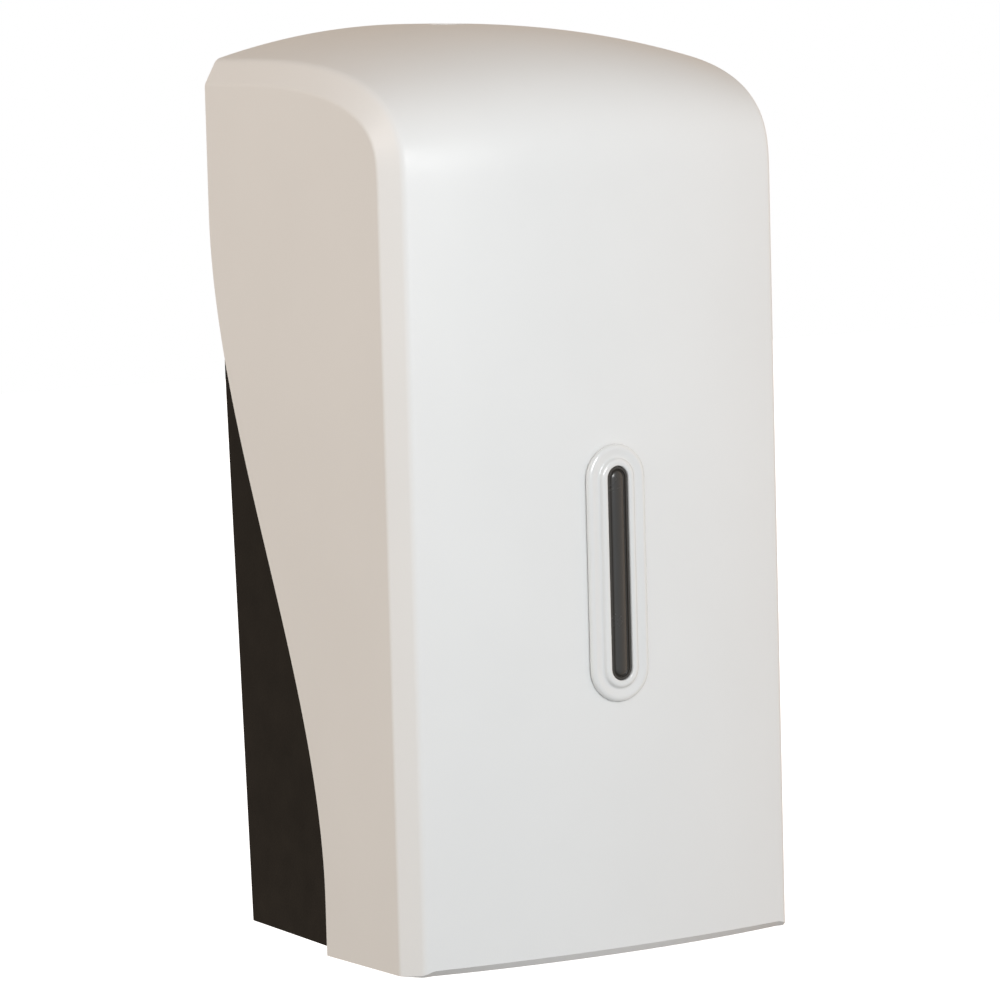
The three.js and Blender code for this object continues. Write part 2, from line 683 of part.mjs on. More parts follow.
const SENSOR_Y = [-102.3, -93];
const SENSOR_HALF = 9;
const LED_X = 16;
const LED_Y = -97;
const NOZZLE_RADIUS = 4.5;
const NOZZLE_FLANGE = 7;
const BOARD_POSTS = [[19, -88], [47, -88], [19, -127], [47, -127]];
const BOARD_REAR = -40;
const BOARD_THICK = 1.6;
const BOARD_X = [15, 51];
const BOARD_Z = [-131, -84];
const POST_RADIUS = 2.5;
const STAKE_RADIUS = 1;
const INLET_RADIUS = 9;
const LED_RADIUS = 2;
const GUIDE_DEPTH = 2.5;
const GUIDES = [[-78.5, GEAR_PLATE_FRONT - GAP], [GEAR_PLATE_REAR + GAP, -70]];

function moduleCase() {
  const inner = CASE_HALF - CASE_WALL;
  let body = cut(
    block(-CASE_HALF, CASE_HALF, CASE_FRONT, CASE_REAR, CASE_BOTTOM, CASE_TOP),
    block(-inner, inner, CASE_FRONT - 1, CASE_REAR - CASE_WALL,
      CASE_BOTTOM + CASE_WALL, CASE_TOP - CASE_WALL),
    rod('z', INLET_RADIUS, CASE_TOP - 5, CASE_TOP + 5, 0, OUTLET_Y),
    rod('z', NOZZLE_RADIUS + 0.4, CASE_BOTTOM - 5, CASE_BOTTOM + 5, 0, OUTLET_Y),
    rod('z', LED_RADIUS + 0.4, CASE_BOTTOM - 5, CASE_BOTTOM + 5, LED_X, LED_Y, 16),
    block(-SENSOR_HALF - GAP, SENSOR_HALF + GAP, SENSOR_Y[0] - GAP, SENSOR_Y[1] + GAP,
      CASE_BOTTOM - 5, CASE_BOTTOM + 5),
  );
  for (const [, side] of SIDES) {
    for (const [front, rear] of GUIDES) {
      body = join(body, block(side * (inner - GUIDE_DEPTH), side * (inner + 1), front, rear,
        CASE_BOTTOM + 1, CASE_TOP - 1));
    }
    for (const z of SCREW_Z) {
      const boss = rod('y', SCREW_BOSS_RADIUS, CASE_REAR - 1, -PLATE_THICK - GAP, side * SCREW_X, z, 16);
      const hole = rod('y', SCREW_RADIUS + GAP, SCREW_TIP - 1.5, 0, side * SCREW_X, z, 12);
      body = cut(join(body, boss), hole);
    }
  }
  for (const [x, z] of BOARD_POSTS) {
    const post = rod('y', POST_RADIUS, BOARD_REAR + GAP, CASE_REAR - 1, x, z, 12);
    const stake = rod('y', STAKE_RADIUS, BOARD_REAR - BOARD_THICK - 1, BOARD_REAR + 1, x, z, 8);
    body = join(body, post, stake);
  }
  return body;
}

const SWITCH_Z = -88;
const FRONT_REAR = CASE_FRONT - GAP;
const FRONT_FACE = FRONT_REAR - FRONT_THICK;
const DOOR_X = [29.5, 60];
const DOOR_Z = [-135, -80];
const DOOR_THICK = 1.8;
const SWITCH_SLOT_HALF = 4.4;
const HOOK_REAR = -94;
const HOOK_REACH = 1.6;
const TOP_HOOK_X = [14, 24];
const BOTTOM_HOOK_X = [24, 34];

// A snap hook over the case: a finger that runs back, on a tab that stands on the panel.
function snapHook(side, [x0, x1], edge, out) {
  const outer = edge + out * HOOK_REACH;
  const finger = block(side * x0, side * x1, FRONT_FACE, HOOK_REAR, edge + out * GAP, outer);
  const tab = block(side * x0, side * x1, FRONT_FACE, FRONT_REAR, edge - out, outer);
  return join(finger, tab);
}

function moduleFront() {
  const [front, rear] = [FRONT_FACE - BEYOND, FRONT_REAR + BEYOND];
  let panel = block(-CASE_HALF, CASE_HALF, FRONT_FACE, FRONT_REAR, CASE_BOTTOM, CASE_TOP);
  panel = cut(panel, block(-SWITCH_SLOT_HALF, SWITCH_SLOT_HALF, front, rear, SWITCH_Z - 3, SWITCH_Z + 3));
  for (const [, side] of SIDES) {
    panel = cut(panel, block(side * (DOOR_X[0] + 2), side * (DOOR_X[1] - 2), front, rear,
      DOOR_Z[0] + 4, DOOR_Z[1] - 4));
    const hooks = [snapHook(side, TOP_HOOK_X, CASE_TOP, 1), snapHook(side, BOTTOM_HOOK_X, CASE_BOTTOM, -1)];
    panel = join(panel, ...hooks);
  }
  return panel;
}

place('module_case', moduleCase(), GREY_PLASTIC);
place('module_front', moduleFront(), GREY_PLASTIC);

function moduleScrew() {
  const head = rod('y', SCREW_HEAD_RADIUS, GAP - SCREW_RECESS, -0.2, 0, 0, 12);
  const shank = rod('y', SCREW_RADIUS, SCREW_TIP, -1, 0, 0, 10);
  const [arm, half] = [2.4, 0.5];
  const across = block(-arm, arm, -0.7, 1, -half, half);
  const upright = block(-half, half, -0.7, 1, -arm, arm);
  return cut(join(head, shank), across, upright);
}

const MODULE_SCREWS = SCREW_Z.flatMap((z) => [[-SCREW_X, z], [SCREW_X, z]]);
MODULE_SCREWS.forEach(([x, z], i) => {
  place(`module_screw_${i + 1}`, moduleScrew(), STEEL, [x, 0, z]);
});

// ---------------------------------------------------------------- gearbox plates

const AXLE_HOLE = 1.8;
const BUSH_REAR_RADIUS = 4.9;
const BUSH_FRONT_RADIUS = 4.7;
const HOLE_FRONT = PUMP_FRONT - BEYOND;
const HOLE_REAR = FRAME_REAR + BEYOND;
const PUMP_SCREWS = [[-10, -86.5], [26, -86.5], [-10, -123.5], [26, -123.5]];
const PUMP_SCREW_HOLE = 1.6;

function pumpScrewHoles() {
  return PUMP_SCREWS.map(([x, z]) => rod('y', PUMP_SCREW_HOLE, HOLE_FRONT, HOLE_REAR, x, z, 12));
}

function gearPlate() {
  const half = CASE_HALF - CASE_WALL - GAP;
  const plate = block(-half, half, GEAR_PLATE_FRONT, GEAR_PLATE_REAR, CASE_BOTTOM + 2, CASE_TOP - 2);
  return cut(plate,
    rod('y', ROTOR_SHAFT_RADIUS + 1.5, HOLE_FRONT, HOLE_REAR, ROTOR_X, ROTOR_Z),
    rod('y', AXLE_HOLE, HOLE_FRONT, HOLE_REAR, IDLER_X, IDLER_Z, 12),
    ...pumpScrewHoles());
}

const FRAME_POSTS = [[-47, -125], [-47, -85], [31, -83], [31, -127]];
const FRAME_POST_RADIUS = 2.6;
const FRAME_X = [-50, 34];
const FRAME_Z = [-130, -80];

function motorFrame() {
  let frame = block(...FRAME_X, FRAME_FRONT, FRAME_REAR, ...FRAME_Z);
  for (const [x, z] of FRAME_POSTS) {
    frame = join(frame, rod('y', FRAME_POST_RADIUS, GEAR_PLATE_REAR + GAP, FRAME_FRONT + 1, x, z, 12));
  }
  return cut(frame,
    rod('y', 2 * MOTOR_SHAFT_RADIUS, HOLE_FRONT, HOLE_REAR, MOTOR_X, IDLER_Z, 12),
    rod('y', AXLE_HOLE, HOLE_FRONT, HOLE_REAR, IDLER_X, IDLER_Z, 12),
    rod('y', BUSH_REAR_RADIUS + GAP, HOLE_FRONT, HOLE_REAR, ROTOR_X, ROTOR_Z, 16));
}

place('gear_plate', gearPlate(), STEEL);
place('motor_frame', motorFrame(), STEEL);

// ---------------------------------------------------------------- motor and gears

const PLANE_A = [-60, -55.2];
const PLANE_B = [-68, -63];
const ADDENDUM = 0.9;
const DEDENDUM = 1.2;
const ROOT_SHARE = 0.27;
const TIP_SHARE = 0.11;

// A spur gear outline with its first tooth centred on the angle given, seen along +Y.
function gearShape(teeth, firstTooth) {
  const pitch = (2 * Math.PI) / teeth;
  const root = teeth / 2 - DEDENDUM;
  const tip = teeth / 2 + ADDENDUM;
  const tooth = [[root, -ROOT_SHARE], [tip, -TIP_SHARE], [tip, TIP_SHARE], [root, ROOT_SHARE]];
  const points = [];
  for (let i = 0; i < teeth; i += 1) {
    const middle = firstTooth + i * pitch;
    for (const [radius, offset] of tooth) {
      const angle = middle + offset * pitch;
      points.push([radius * Math.cos(angle), radius * Math.sin(angle)]);
    }
  }
  return outline(points);
}

const TO_DRIVE = Math.atan2(ROTOR_Z - IDLER_Z, ROTOR_X - IDLER_X);
const idlerAxis = group(IDLER_X, 0, IDLER_Z);
const motorAxis = group(MOTOR_X, 0, IDLER_Z);
const rotorAxis = group(ROTOR_X, 0, ROTOR_Z);

function motorCan() {
  const can = rod('y', MOTOR_RADIUS, ...MOTOR_Y, 0, 0, 24);
  const rearBoss = rod('y', MOTOR_BOSS_RADIUS, MOTOR_Y[1] - 0.5, MOTOR_BOSS_REAR, 0, 0, 12);
  const mouth = rod('y', MOTOR_SHAFT_RADIUS + 0.4, MOTOR_Y[0] - 1, MOTOR_SHAFT_Y[1] + 0.6, 0, 0, 12);
  return cut(join(can, rearBoss), mouth);
}

function motorPinion() {
  const bore = rod('y', MOTOR_SHAFT_RADIUS + GAP, HOLE_FRONT, HOLE_REAR, 0, 0, 12);
  return cut(prismY(gearShape(PINION_TEETH, 0), PLANE_A[1], PLANE_A[0]), bore);
}

function idlerGear() {
  const wheelShape = gearShape(IDLER_TEETH, Math.PI + Math.PI / IDLER_TEETH);
  const wheel = prismY(wheelShape, PLANE_A[1] - GAP, PLANE_A[0] + GAP);
  const pinion = prismY(gearShape(PINION_TEETH, TO_DRIVE), PLANE_A[0] + 1, PLANE_B[0]);
  const hub = rod('y', 3.6, GEAR_PLATE_REAR + 0.8, PLANE_B[0] + 1, 0, 0, 16);
  return cut(join(wheel, pinion, hub), rod('y', AXLE_HOLE, HOLE_FRONT, HOLE_REAR, 0, 0, 12));
}

const WEB_HOLES = 6;
const WEB_HOLE_RADIUS = 3;
const WEB_HOLE_ORBIT = 11;

function driveGear() {
  const gear = prismY(gearShape(DRIVE_TEETH, TO_DRIVE + Math.PI + Math.PI / DRIVE_TEETH), PLANE_B[1] - 0.2,
    PLANE_B[0] + 0.2);
  const hub = rod('y', 6, PLANE_B[1] - 1, PLANE_B[1] + 3, 0, 0);
  let wheel = cut(join(gear, hub), rod('y', ROTOR_SHAFT_RADIUS + GAP, HOLE_FRONT, HOLE_REAR, 0, 0, 16));
  for (let i = 0; i < WEB_HOLES; i += 1) {
    const angle = (i * 2 * Math.PI) / WEB_HOLES;
    const [x, z] = [WEB_HOLE_ORBIT * Math.cos(angle), WEB_HOLE_ORBIT * Math.sin(angle)];
    wheel = cut(wheel, rod('y', WEB_HOLE_RADIUS, HOLE_FRONT, HOLE_REAR, x, z, 8));
  }
  return wheel;
}

place('motor_can', motorCan(), STEEL, [0, 0, 0], motorAxis);
place('motor_shaft', rod('y', MOTOR_SHAFT_RADIUS, ...MOTOR_SHAFT_Y, 0, 0, 12), STEEL, [0, 0, 0], motorAxis);
place('motor_pinion', motorPinion(), BRASS, [0, 0, 0], motorAxis);
place('idler_gear', idlerGear(), ACETAL, [0, 0, 0], idlerAxis);
place('idler_pin', rod('y', IDLER_PIN_RADIUS, ...IDLER_PIN_Y, 0, 0, 12), STEEL, [0, 0, 0], idlerAxis);
place('drive_gear', driveGear(), ACETAL, [0, 0, 0], rotorAxis);

// ---------------------------------------------------------------- peristaltic pump

const DISC_RADIUS = 12.2;
const ROTOR_DISCS = [[-91.6, -90], [-79, -77]];
const ROLLER_ENDS = [-89.5, -79.5];
const ROLLER_BORE = 1.5;
const ROLLER_PIN_RADIUS = 1.2;
const SHAFT_Y = [-90.5, -53];
const NOSE_Y = [-94.6, -91];
const BUSH_FRONT_Y = [-94.7, -92.9];
const BUSH_REAR_Y = [-54.6, -52.4];

function rollerPlace(i) {
  const angle = Math.PI / 2 + (i * 2 * Math.PI) / ROLLER_COUNT;
  return [ROLLER_ORBIT * Math.cos(angle), ROLLER_ORBIT * Math.sin(angle)];
}

function pumpRotor() {
  let rotor = join(
    rod('y', ROTOR_SHAFT_RADIUS, ...SHAFT_Y, 0, 0, 16),
    rod('y', ROTOR_NOSE_RADIUS, ...NOSE_Y, 0, 0, 16),
    ...ROTOR_DISCS.map(([front, rear]) => rod('y', DISC_RADIUS, front, rear, 0, 0, 24)),
  );
  for (let i = 0; i < ROLLER_COUNT; i += 1) {
    rotor = join(rotor, rod('y', ROLLER_PIN_RADIUS, ROLLER_ENDS[0] - 1, ROLLER_ENDS[1] + 1,
      ...rollerPlace(i), 10));
  }
  return rotor;
}

// Centre line of the tube in the plane of the pump: down, half way round the rotor, down.
function tubePath() {
  const top = TANK_BOTTOM - 4.7;
  const bottom = CASE_BOTTOM + 4.1;
  const at = (x, z) => new THREE.Vector3(x, OUTLET_Y, z);
  const arc = (cx, cz, radius, from, to, steps) => {
    const points = [];
    for (let i = 0; i <= steps; i += 1) {
      const angle = from + ((to - from) * i) / steps;
      points.push(at(cx + radius * Math.cos(angle), cz + radius * Math.sin(angle)));
    }
    return points;
  };
  const upper = ROTOR_Z + TUBE_ARC + TUBE_BEND;
  const lower = ROTOR_Z - TUBE_ARC - TUBE_BEND;
  return [
    at(0, top),
    ...arc(TUBE_BEND, upper, TUBE_BEND, Math.PI, 1.5 * Math.PI, 3),
    ...arc(ROTOR_X, ROTOR_Z, TUBE_ARC, Math.PI / 2, -Math.PI / 2, 10).slice(1),
    ...arc(TUBE_BEND, lower, TUBE_BEND, Math.PI / 2, Math.PI, 3).slice(1),
    at(0, bottom),
  ];
}

// A round tube swept along a polyline in a plane of constant y, as one closed solid.
function sweptRings(points, radius, sides) {
  return points.map((point, i) => {
    const before = points[Math.max(i - 1, 0)];
    const after = points[Math.min(i + 1, points.length - 1)];
    const along = after.clone().sub(before).normalize();
    const across = new THREE.Vector3(0, 1, 0).cross(along).normalize();
    return Array.from({ length: sides }, (_, k) => {
      const angle = (k / sides) * 2 * Math.PI;
      return point.clone()
        .addScaledVector(across, radius * Math.cos(angle))
        .addScaledVector(new THREE.Vector3(0, 1, 0), radius * Math.sin(angle))
        .toArray();
    });
  });
}

function extended(points) {
  const first = points[0].clone().add(new THREE.Vector3(0, 0, 2));
  const last = points[points.length - 1].clone().add(new THREE.Vector3(0, 0, -2));
  return [first, ...points, last];
}

function pumpTube() {
  const points = tubePath();
  return cut(loft(sweptRings(points, TUBE_RADIUS, 10)), loft(sweptRings(extended(points), TUBE_BORE, 8)));
}

function pumpHousing() {
  const body = block(PUMP_LEFT, PUMP_RIGHT, PUMP_FRONT, GEAR_PLATE_FRONT - GAP, ...PUMP_Z);
  return cut(body,
    rod('y', RACE_RADIUS, HOLE_FRONT, HOLE_REAR, ROTOR_X, ROTOR_Z, 36),
    loft(sweptRings(extended(tubePath()), TUBE_RADIUS + 0.5, 10)),
    ...pumpScrewHoles());
}

function pumpCover() {
  const rear = PUMP_FRONT - GAP;
  const plate = block(PUMP_LEFT, PUMP_RIGHT, rear - PUMP_LID, rear, ...PUMP_Z);
  const bearing = rod('y', BUSH_FRONT_RADIUS + GAP, HOLE_FRONT, HOLE_REAR, ROTOR_X, ROTOR_Z);
  return cut(plate, bearing, ...pumpScrewHoles());
}

function pumpScrew() {
  const seat = PUMP_FRONT - PUMP_LID - 2 * GAP;
  const head = rod('y', 2.5, seat - 1.8, seat, 0, 0, 12);
  const shank = rod('y', PUMP_SCREW_RADIUS, seat - 0.9, -74, 0, 0, 10);
  return cut(join(head, shank), block(-1.8, 1.8, seat - 3, seat - 1.1, -0.4, 0.4));
}

place('pump_rotor', pumpRotor(), ACETAL, [0, 0, 0], rotorAxis);
for (let i = 0; i < ROLLER_COUNT; i += 1) {
  const [x, z] = rollerPlace(i);
  const roller = ringSolid(ROLLER_BORE, ROLLER_RADIUS, ...ROLLER_ENDS, 14);
  place(`roller_${i + 1}`, roller, STEEL, [x, 0, z], rotorAxis);
}
const bushFront = ringSolid(ROTOR_NOSE_RADIUS + 0.35, BUSH_FRONT_RADIUS, ...BUSH_FRONT_Y, 16);
const bushRear = ringSolid(ROTOR_SHAFT_RADIUS + GAP, BUSH_REAR_RADIUS, ...BUSH_REAR_Y, 16);
place('rotor_bush_front', bushFront, BRASS, [0, 0, 0], rotorAxis);
place('rotor_bush_rear', bushRear, BRASS, [0, 0, 0], rotorAxis);
place('pump_housing', pumpHousing(), GREY_PLASTIC);
place('pump_cover', pumpCover(), GREY_PLASTIC);
place('pump_tube', pumpTube(), SILICONE);
PUMP_SCREWS.forEach(([x, z], i) => {
  place(`pump_screw_${i + 1}`, pumpScrew(), STEEL, [x, 0, z]);
});

// ---------------------------------------------------------------- nozzle, sensor, board, switch

function nozzle() {
  const seat = CASE_BOTTOM + CASE_WALL + GAP;
  const profile = [
    [0, BOTTOM + 0.6], [2.4, BOTTOM + 0.6], [3.2, BOTTOM + 3], [NOZZLE_RADIUS, BOTTOM + 4],
    [NOZZLE_RADIUS, seat], [NOZZLE_FLANGE, seat], [NOZZLE_FLANGE, seat + 1.5],
    [SPIGOT_RADIUS, seat + 1.5], [SPIGOT_RADIUS, seat + 6], [0, seat + 6],
  ];
  const body = toSolid(turned(profile, 20).rotateX(Math.PI / 2));
  return cut(body, rod('z', SPIGOT_BORE, BOTTOM - 5, seat + BEYOND, 0, 0, 8));
}

function sensorWindow() {
  const body = block(-SENSOR_HALF, SENSOR_HALF, SENSOR_Y[0], SENSOR_Y[1], CASE_BOTTOM - 0.4, CASE_BOTTOM + 4);
  const inner = CASE_BOTTOM + CASE_WALL + GAP;
  const flangeHalf = SENSOR_HALF + 1.5;
  const flange = block(-flangeHalf, flangeHalf, SENSOR_Y[0] - 1, SENSOR_Y[1] + 1, inner, inner + 1.5);
  return join(body, flange);
}

function statusLed() {
  const profile = [
    [0, CASE_BOTTOM - 1.2], [1.2, CASE_BOTTOM - 0.9],
    [LED_RADIUS, CASE_BOTTOM], [LED_RADIUS, CASE_BOTTOM + 1.9],
    [2.8, CASE_BOTTOM + 1.9], [2.8, CASE_BOTTOM + 4], [0, CASE_BOTTOM + 4],
  ];
  return turned(profile, 14).rotateX(Math.PI / 2);
}

// Larger components: [x0, x1, height, z0, z1], and a round capacitor.
const COMPONENTS = [[24, 34, 3.2, -112, -102], [38, 45, 7, -122, -112], [24, 36, 8, -94, -88]];
const CAPACITOR = [42, -98];
const CAPACITOR_RADIUS = 3.2;
const CAPACITOR_HEIGHT = 11;

function circuitBoard() {
  const root = BOARD_REAR - 1;
  let board = block(...BOARD_X, BOARD_REAR - BOARD_THICK, BOARD_REAR, ...BOARD_Z);
  for (const [x0, x1, height, z0, z1] of COMPONENTS) {
    board = join(board, block(x0, x1, BOARD_REAR - height, root, z0, z1));
  }
  board = join(board, rod('y', CAPACITOR_RADIUS, BOARD_REAR - CAPACITOR_HEIGHT, root, ...CAPACITOR, 14));
  for (const [x, z] of BOARD_POSTS) {
    board = cut(board, rod('y', STAKE_RADIUS + 0.35, BOARD_REAR - BEYOND, BOARD_REAR + BEYOND, x, z, 10));
  }
  return board;
}

// Built at its off position, 1.5 mm left of the slot's middle; it slides 3 mm to the right.
const SWITCH_REST = -1.5;
const KNOB_HALF = 4;
const KNOB_FACE = FRONT_FACE - 2.4;
const KNOB_GROOVES = [-2, 0, 2];

function powerSwitch() {
  const around = (half, front, rear, halfHeight, middle = SWITCH_REST) => (
    block(middle - half, middle + half, front, rear, SWITCH_Z - halfHeight, SWITCH_Z + halfHeight));
  const stem = around(2.5, FRONT_FACE - 1, FRONT_REAR + 1, 2.6);
  const foot = around(5.5, FRONT_REAR + 0.4, FRONT_REAR + 1.8, 5);
  const knob = around(KNOB_HALF, KNOB_FACE, FRONT_FACE - 0.4, 3.6);
  const grooves = KNOB_GROOVES.map((x) => around(0.4, KNOB_FACE - 1, KNOB_FACE + 0.6, 5, SWITCH_REST + x));
  return join(stem, foot, cut(knob, ...grooves));
}

place('nozzle', nozzle(), RUBBER, [0, OUTLET_Y, 0]);
place('sensor_window', sensorWindow(), SMOKED);
place('status_led', statusLed(), LED_GREEN, [LED_X, LED_Y, 0]);
place('circuit_board', circuitBoard(), BOARD_GREEN);
place('power_switch', powerSwitch(), DARK_SHELL);

// ---------------------------------------------------------------- batteries

const TRAY_X = [29, 60.1];
const TRAY_Y = [-103.9, -86];
const TRAY_Z = [CASE_BOTTOM + CASE_WALL + GAP, CASE_TOP - CASE_WALL - GAP];
const TRAY_SKIN = 1.1;
const CONTACT_THICK = 0.6;
const CONTACT_X = [30.6, 58.5];
const CONTACT_Y = [-101, -90];
const SPRING_RADII = [2.2, 4.5];

function batteryTray(side) {
  const outer = block(side * TRAY_X[0], side * TRAY_X[1], TRAY_Y[0], TRAY_Y[1], ...TRAY_Z);
  const room = block(side * (TRAY_X[0] + TRAY_SKIN), side * (TRAY_X[1] - TRAY_SKIN), TRAY_Y[0] - 1,
    TRAY_Y[1] - TRAY_SKIN, TRAY_Z[0] + TRAY_SKIN, TRAY_Z[1] - TRAY_SKIN);
  return cut(outer, room);
}

// Lower contact: a plate with a cone spring under each cell. Upper contact: the plate alone.
function batteryContact(side, lower) {
  const z = lower ? TRAY_Z[0] + TRAY_SKIN + GAP : CELL_BOTTOM + CELL_LENGTH + GAP;
  let contact = block(side * CONTACT_X[0], side * CONTACT_X[1], ...CONTACT_Y, z, z + CONTACT_THICK);
  if (!lower) return contact;
  const height = CELL_BOTTOM - GAP - z;
  for (let i = 0; i < 2; i += 1) {
    const cone = new THREE.CylinderGeometry(...SPRING_RADII, height, 12).rotateX(Math.PI / 2);
    cone.translate(side * (CELL_INNER_X + i * CELL_PITCH), CELL_Y, z + height / 2);
    contact = join(contact, toSolid(cone));
  }
  return contact;
}

function batteryCell() {
  const profile = [
    [0, 0], [CELL_RADIUS - 0.4, 0], [CELL_RADIUS, 0.4], [CELL_RADIUS, CELL_BARE - 0.6],
    [CELL_RADIUS - 0.6, CELL_BARE], [BUTTON_RADIUS, CELL_BARE],
    [BUTTON_RADIUS, CELL_LENGTH], [0, CELL_LENGTH],
  ];
  return turned(profile, 16).rotateX(Math.PI / 2);
}

const DOOR_RIBS = 4;
const RIB_X = [37, 52];
const RIB_PITCH = 3;
const RIB_WIDTH = 1.2;

function batteryDoor(side) {
  const rear = FRONT_FACE - GAP;
  const face = rear - DOOR_THICK;
  let door = block(side * DOOR_X[0], side * DOOR_X[1], face, rear, ...DOOR_Z);
  for (let i = 0; i < DOOR_RIBS; i += 1) {
    const z = DOOR_Z[0] + 8 + i * RIB_PITCH;
    door = join(door, block(side * RIB_X[0], side * RIB_X[1], face - 0.7, rear - 1, z, z + RIB_WIDTH));
  }
  return door;
}

let cellNumber = 0;
for (const [name, side] of SIDES) {
  place(`battery_tray_${name}`, batteryTray(side), GREY_PLASTIC);
  place(`battery_door_${name}`, batteryDoor(side), GREY_PLASTIC);
  place(`battery_contact_lower_${name}`, batteryContact(side, true), STEEL);
  place(`battery_contact_upper_${name}`, batteryContact(side, false), STEEL);
  for (let i = 0; i < 2; i += 1) {
    cellNumber += 1;
    const x = side * (CELL_INNER_X + i * CELL_PITCH);
    place(`battery_cell_${cellNumber}`, batteryCell(), CELL_WRAP, [x, CELL_Y, CELL_BOTTOM]);
  }
}

export default dispenser;
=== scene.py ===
"""Looks of a touch-free wall-mounted soap dispenser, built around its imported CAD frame."""

import json
import math

import bmesh
import bpy
import numpy as np
from mathutils import Matrix, Vector


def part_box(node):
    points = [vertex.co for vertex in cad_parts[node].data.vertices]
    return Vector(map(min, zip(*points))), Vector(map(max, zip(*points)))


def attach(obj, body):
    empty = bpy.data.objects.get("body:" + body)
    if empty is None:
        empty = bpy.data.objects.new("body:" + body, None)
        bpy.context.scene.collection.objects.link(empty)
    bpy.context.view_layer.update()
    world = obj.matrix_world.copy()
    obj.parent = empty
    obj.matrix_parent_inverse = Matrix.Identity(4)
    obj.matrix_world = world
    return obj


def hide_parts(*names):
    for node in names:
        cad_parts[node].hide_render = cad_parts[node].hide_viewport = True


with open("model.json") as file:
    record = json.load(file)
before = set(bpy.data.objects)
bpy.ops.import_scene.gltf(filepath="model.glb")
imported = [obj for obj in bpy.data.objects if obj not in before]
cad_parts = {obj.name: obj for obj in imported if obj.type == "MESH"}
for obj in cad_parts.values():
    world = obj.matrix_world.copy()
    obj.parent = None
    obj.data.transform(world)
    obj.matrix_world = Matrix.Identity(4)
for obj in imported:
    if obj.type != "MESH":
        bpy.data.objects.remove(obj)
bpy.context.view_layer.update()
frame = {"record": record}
record = frame["record"]
NODE_BODY = {node: body for body, nodes in record["behaviour"]["bodies"].items() for node in nodes}
NODE_SLOT = {part["node"]: part["material_slot"] for part in record["subparts"]}

# ---------------------------------------------------------------- sizes, in millimetres

MM = 0.001
GAP = 0.3
BEYOND = 10  # how far a cutting shape runs past what it cuts
cover_low, cover_high = (np.array(corner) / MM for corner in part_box("front_cover"))
HALF_WIDTH = cover_high[0]
TOP = cover_high[2]
BOTTOM = cover_low[2]
DEPTH = -cover_low[1]
COVER_REAR = cover_high[1]

COVER_WALL = 2.4
FACET_ACROSS = 4.5
FACET_DOWN = 8
CROWN_FRONT = 9
CROWN_TOP = 9.4
CREASE_X = HALF_WIDTH - FACET_ACROSS
CREASE_FRONT = -(DEPTH - CROWN_FRONT)
CREASE_TOP = TOP - CROWN_TOP
CORNER_DEPTH = 111
CORNER_HEIGHT = 41
CORNER_POWER = 3.1
CREASE_ROUND = 2.6
SIDE_ROUND = 3.2
LIP_EDGE_HEIGHT = 1.9
LIP_MIDDLE_HEIGHT = 2.8
LIP_DEPTH = 2.35
LIP_START = CREASE_X + 2.5
LIP_RAMP = 5
SWEEP_TOP = 87
SWEEP_HEIGHT = 215
SWEEP_DEPTH = 61
HINGE = (-67, -134)
HINGE_Y, HINGE_Z = HINGE
PIN_RADIUS = 2.25
LOCK_Y = -34
LOCK = (0, LOCK_Y)
LOCK_RADIUS = 6
CAM_TOP = 133.3
CAM_BOTTOM = CAM_TOP - 3
WINDOW_Z = -25
SIDES = (("left", -1), ("right", 1))


# ---------------------------------------------------------------- mesh helpers

def mesh_object(name, points, faces):
    """A mesh object from points in millimetres, with its faces turned outward."""
    mesh = bpy.data.meshes.new(name)
    mesh.from_pydata([Vector(p) * MM for p in points], [], faces)
    obj = bpy.data.objects.new(name, mesh)
    bpy.context.scene.collection.objects.link(obj)
    build = bmesh.new()
    build.from_mesh(mesh)
    bmesh.ops.remove_doubles(build, verts=build.verts, dist=1e-7)
    bmesh.ops.recalc_face_normals(build, faces=build.faces)
    build.to_mesh(mesh)
    build.free()
    return obj


def apply_modifiers(obj):
    """Bakes the object's modifiers into its mesh."""
    graph = bpy.context.evaluated_depsgraph_get()
    mesh = bpy.data.meshes.new_from_object(obj.evaluated_get(graph))
    old = obj.data
    obj.modifiers.clear()
    obj.data = mesh
    bpy.data.meshes.remove(old)
    return obj


def boolean(obj, others, operation):
    """Joins or cuts obj by each of the others, which are used up."""
    for other in others:
        step = obj.modifiers.new("boolean", "BOOLEAN")
        step.operation = operation
        step.solver = "MANIFOLD"
        step.object = other
        apply_modifiers(obj)
        bpy.data.objects.remove(other)
    return obj


def cut(obj, *others):
    return boolean(obj, others, "DIFFERENCE")


def union(obj, *others):
    return boolean(obj, others, "UNION")


def soften(obj, width, segments=3, angle=40, smooth=38, flat=0.1):
    """Rounds every edge sharper than angle, in degrees, and shades the rest smooth.

    Faces that meet within flat degrees are joined first, so the rounding has no slivers.
    """
    build = bmesh.new()
    build.from_mesh(obj.data)
    bmesh.ops.remove_doubles(build, verts=build.verts, dist=2e-6)
    if flat:
        bmesh.ops.dissolve_limit(build, angle_limit=math.radians(flat), verts=build.verts, edges=build.edges)
    build.to_mesh(obj.data)
    build.free()
    bevel = obj.modifiers.new("bevel", "BEVEL")
    bevel.width = width * MM
    bevel.segments = segments
    bevel.limit_method = "ANGLE"
    bevel.angle_limit = math.radians(angle)
    bevel.miter_outer = "MITER_ARC"
    apply_modifiers(obj)
    return shade(obj, smooth)


def shade(obj, angle=38):
    """Smooth shading that keeps large flat faces flat and edges over angle sharp."""
    obj.data.shade_smooth()
    obj.data.set_sharp_from_angle(angle=math.radians(angle))
    weighted = obj.modifiers.new("weighted", "WEIGHTED_NORMAL")
    weighted.keep_sharp = True
    weighted.weight = 90
    return apply_modifiers(obj)


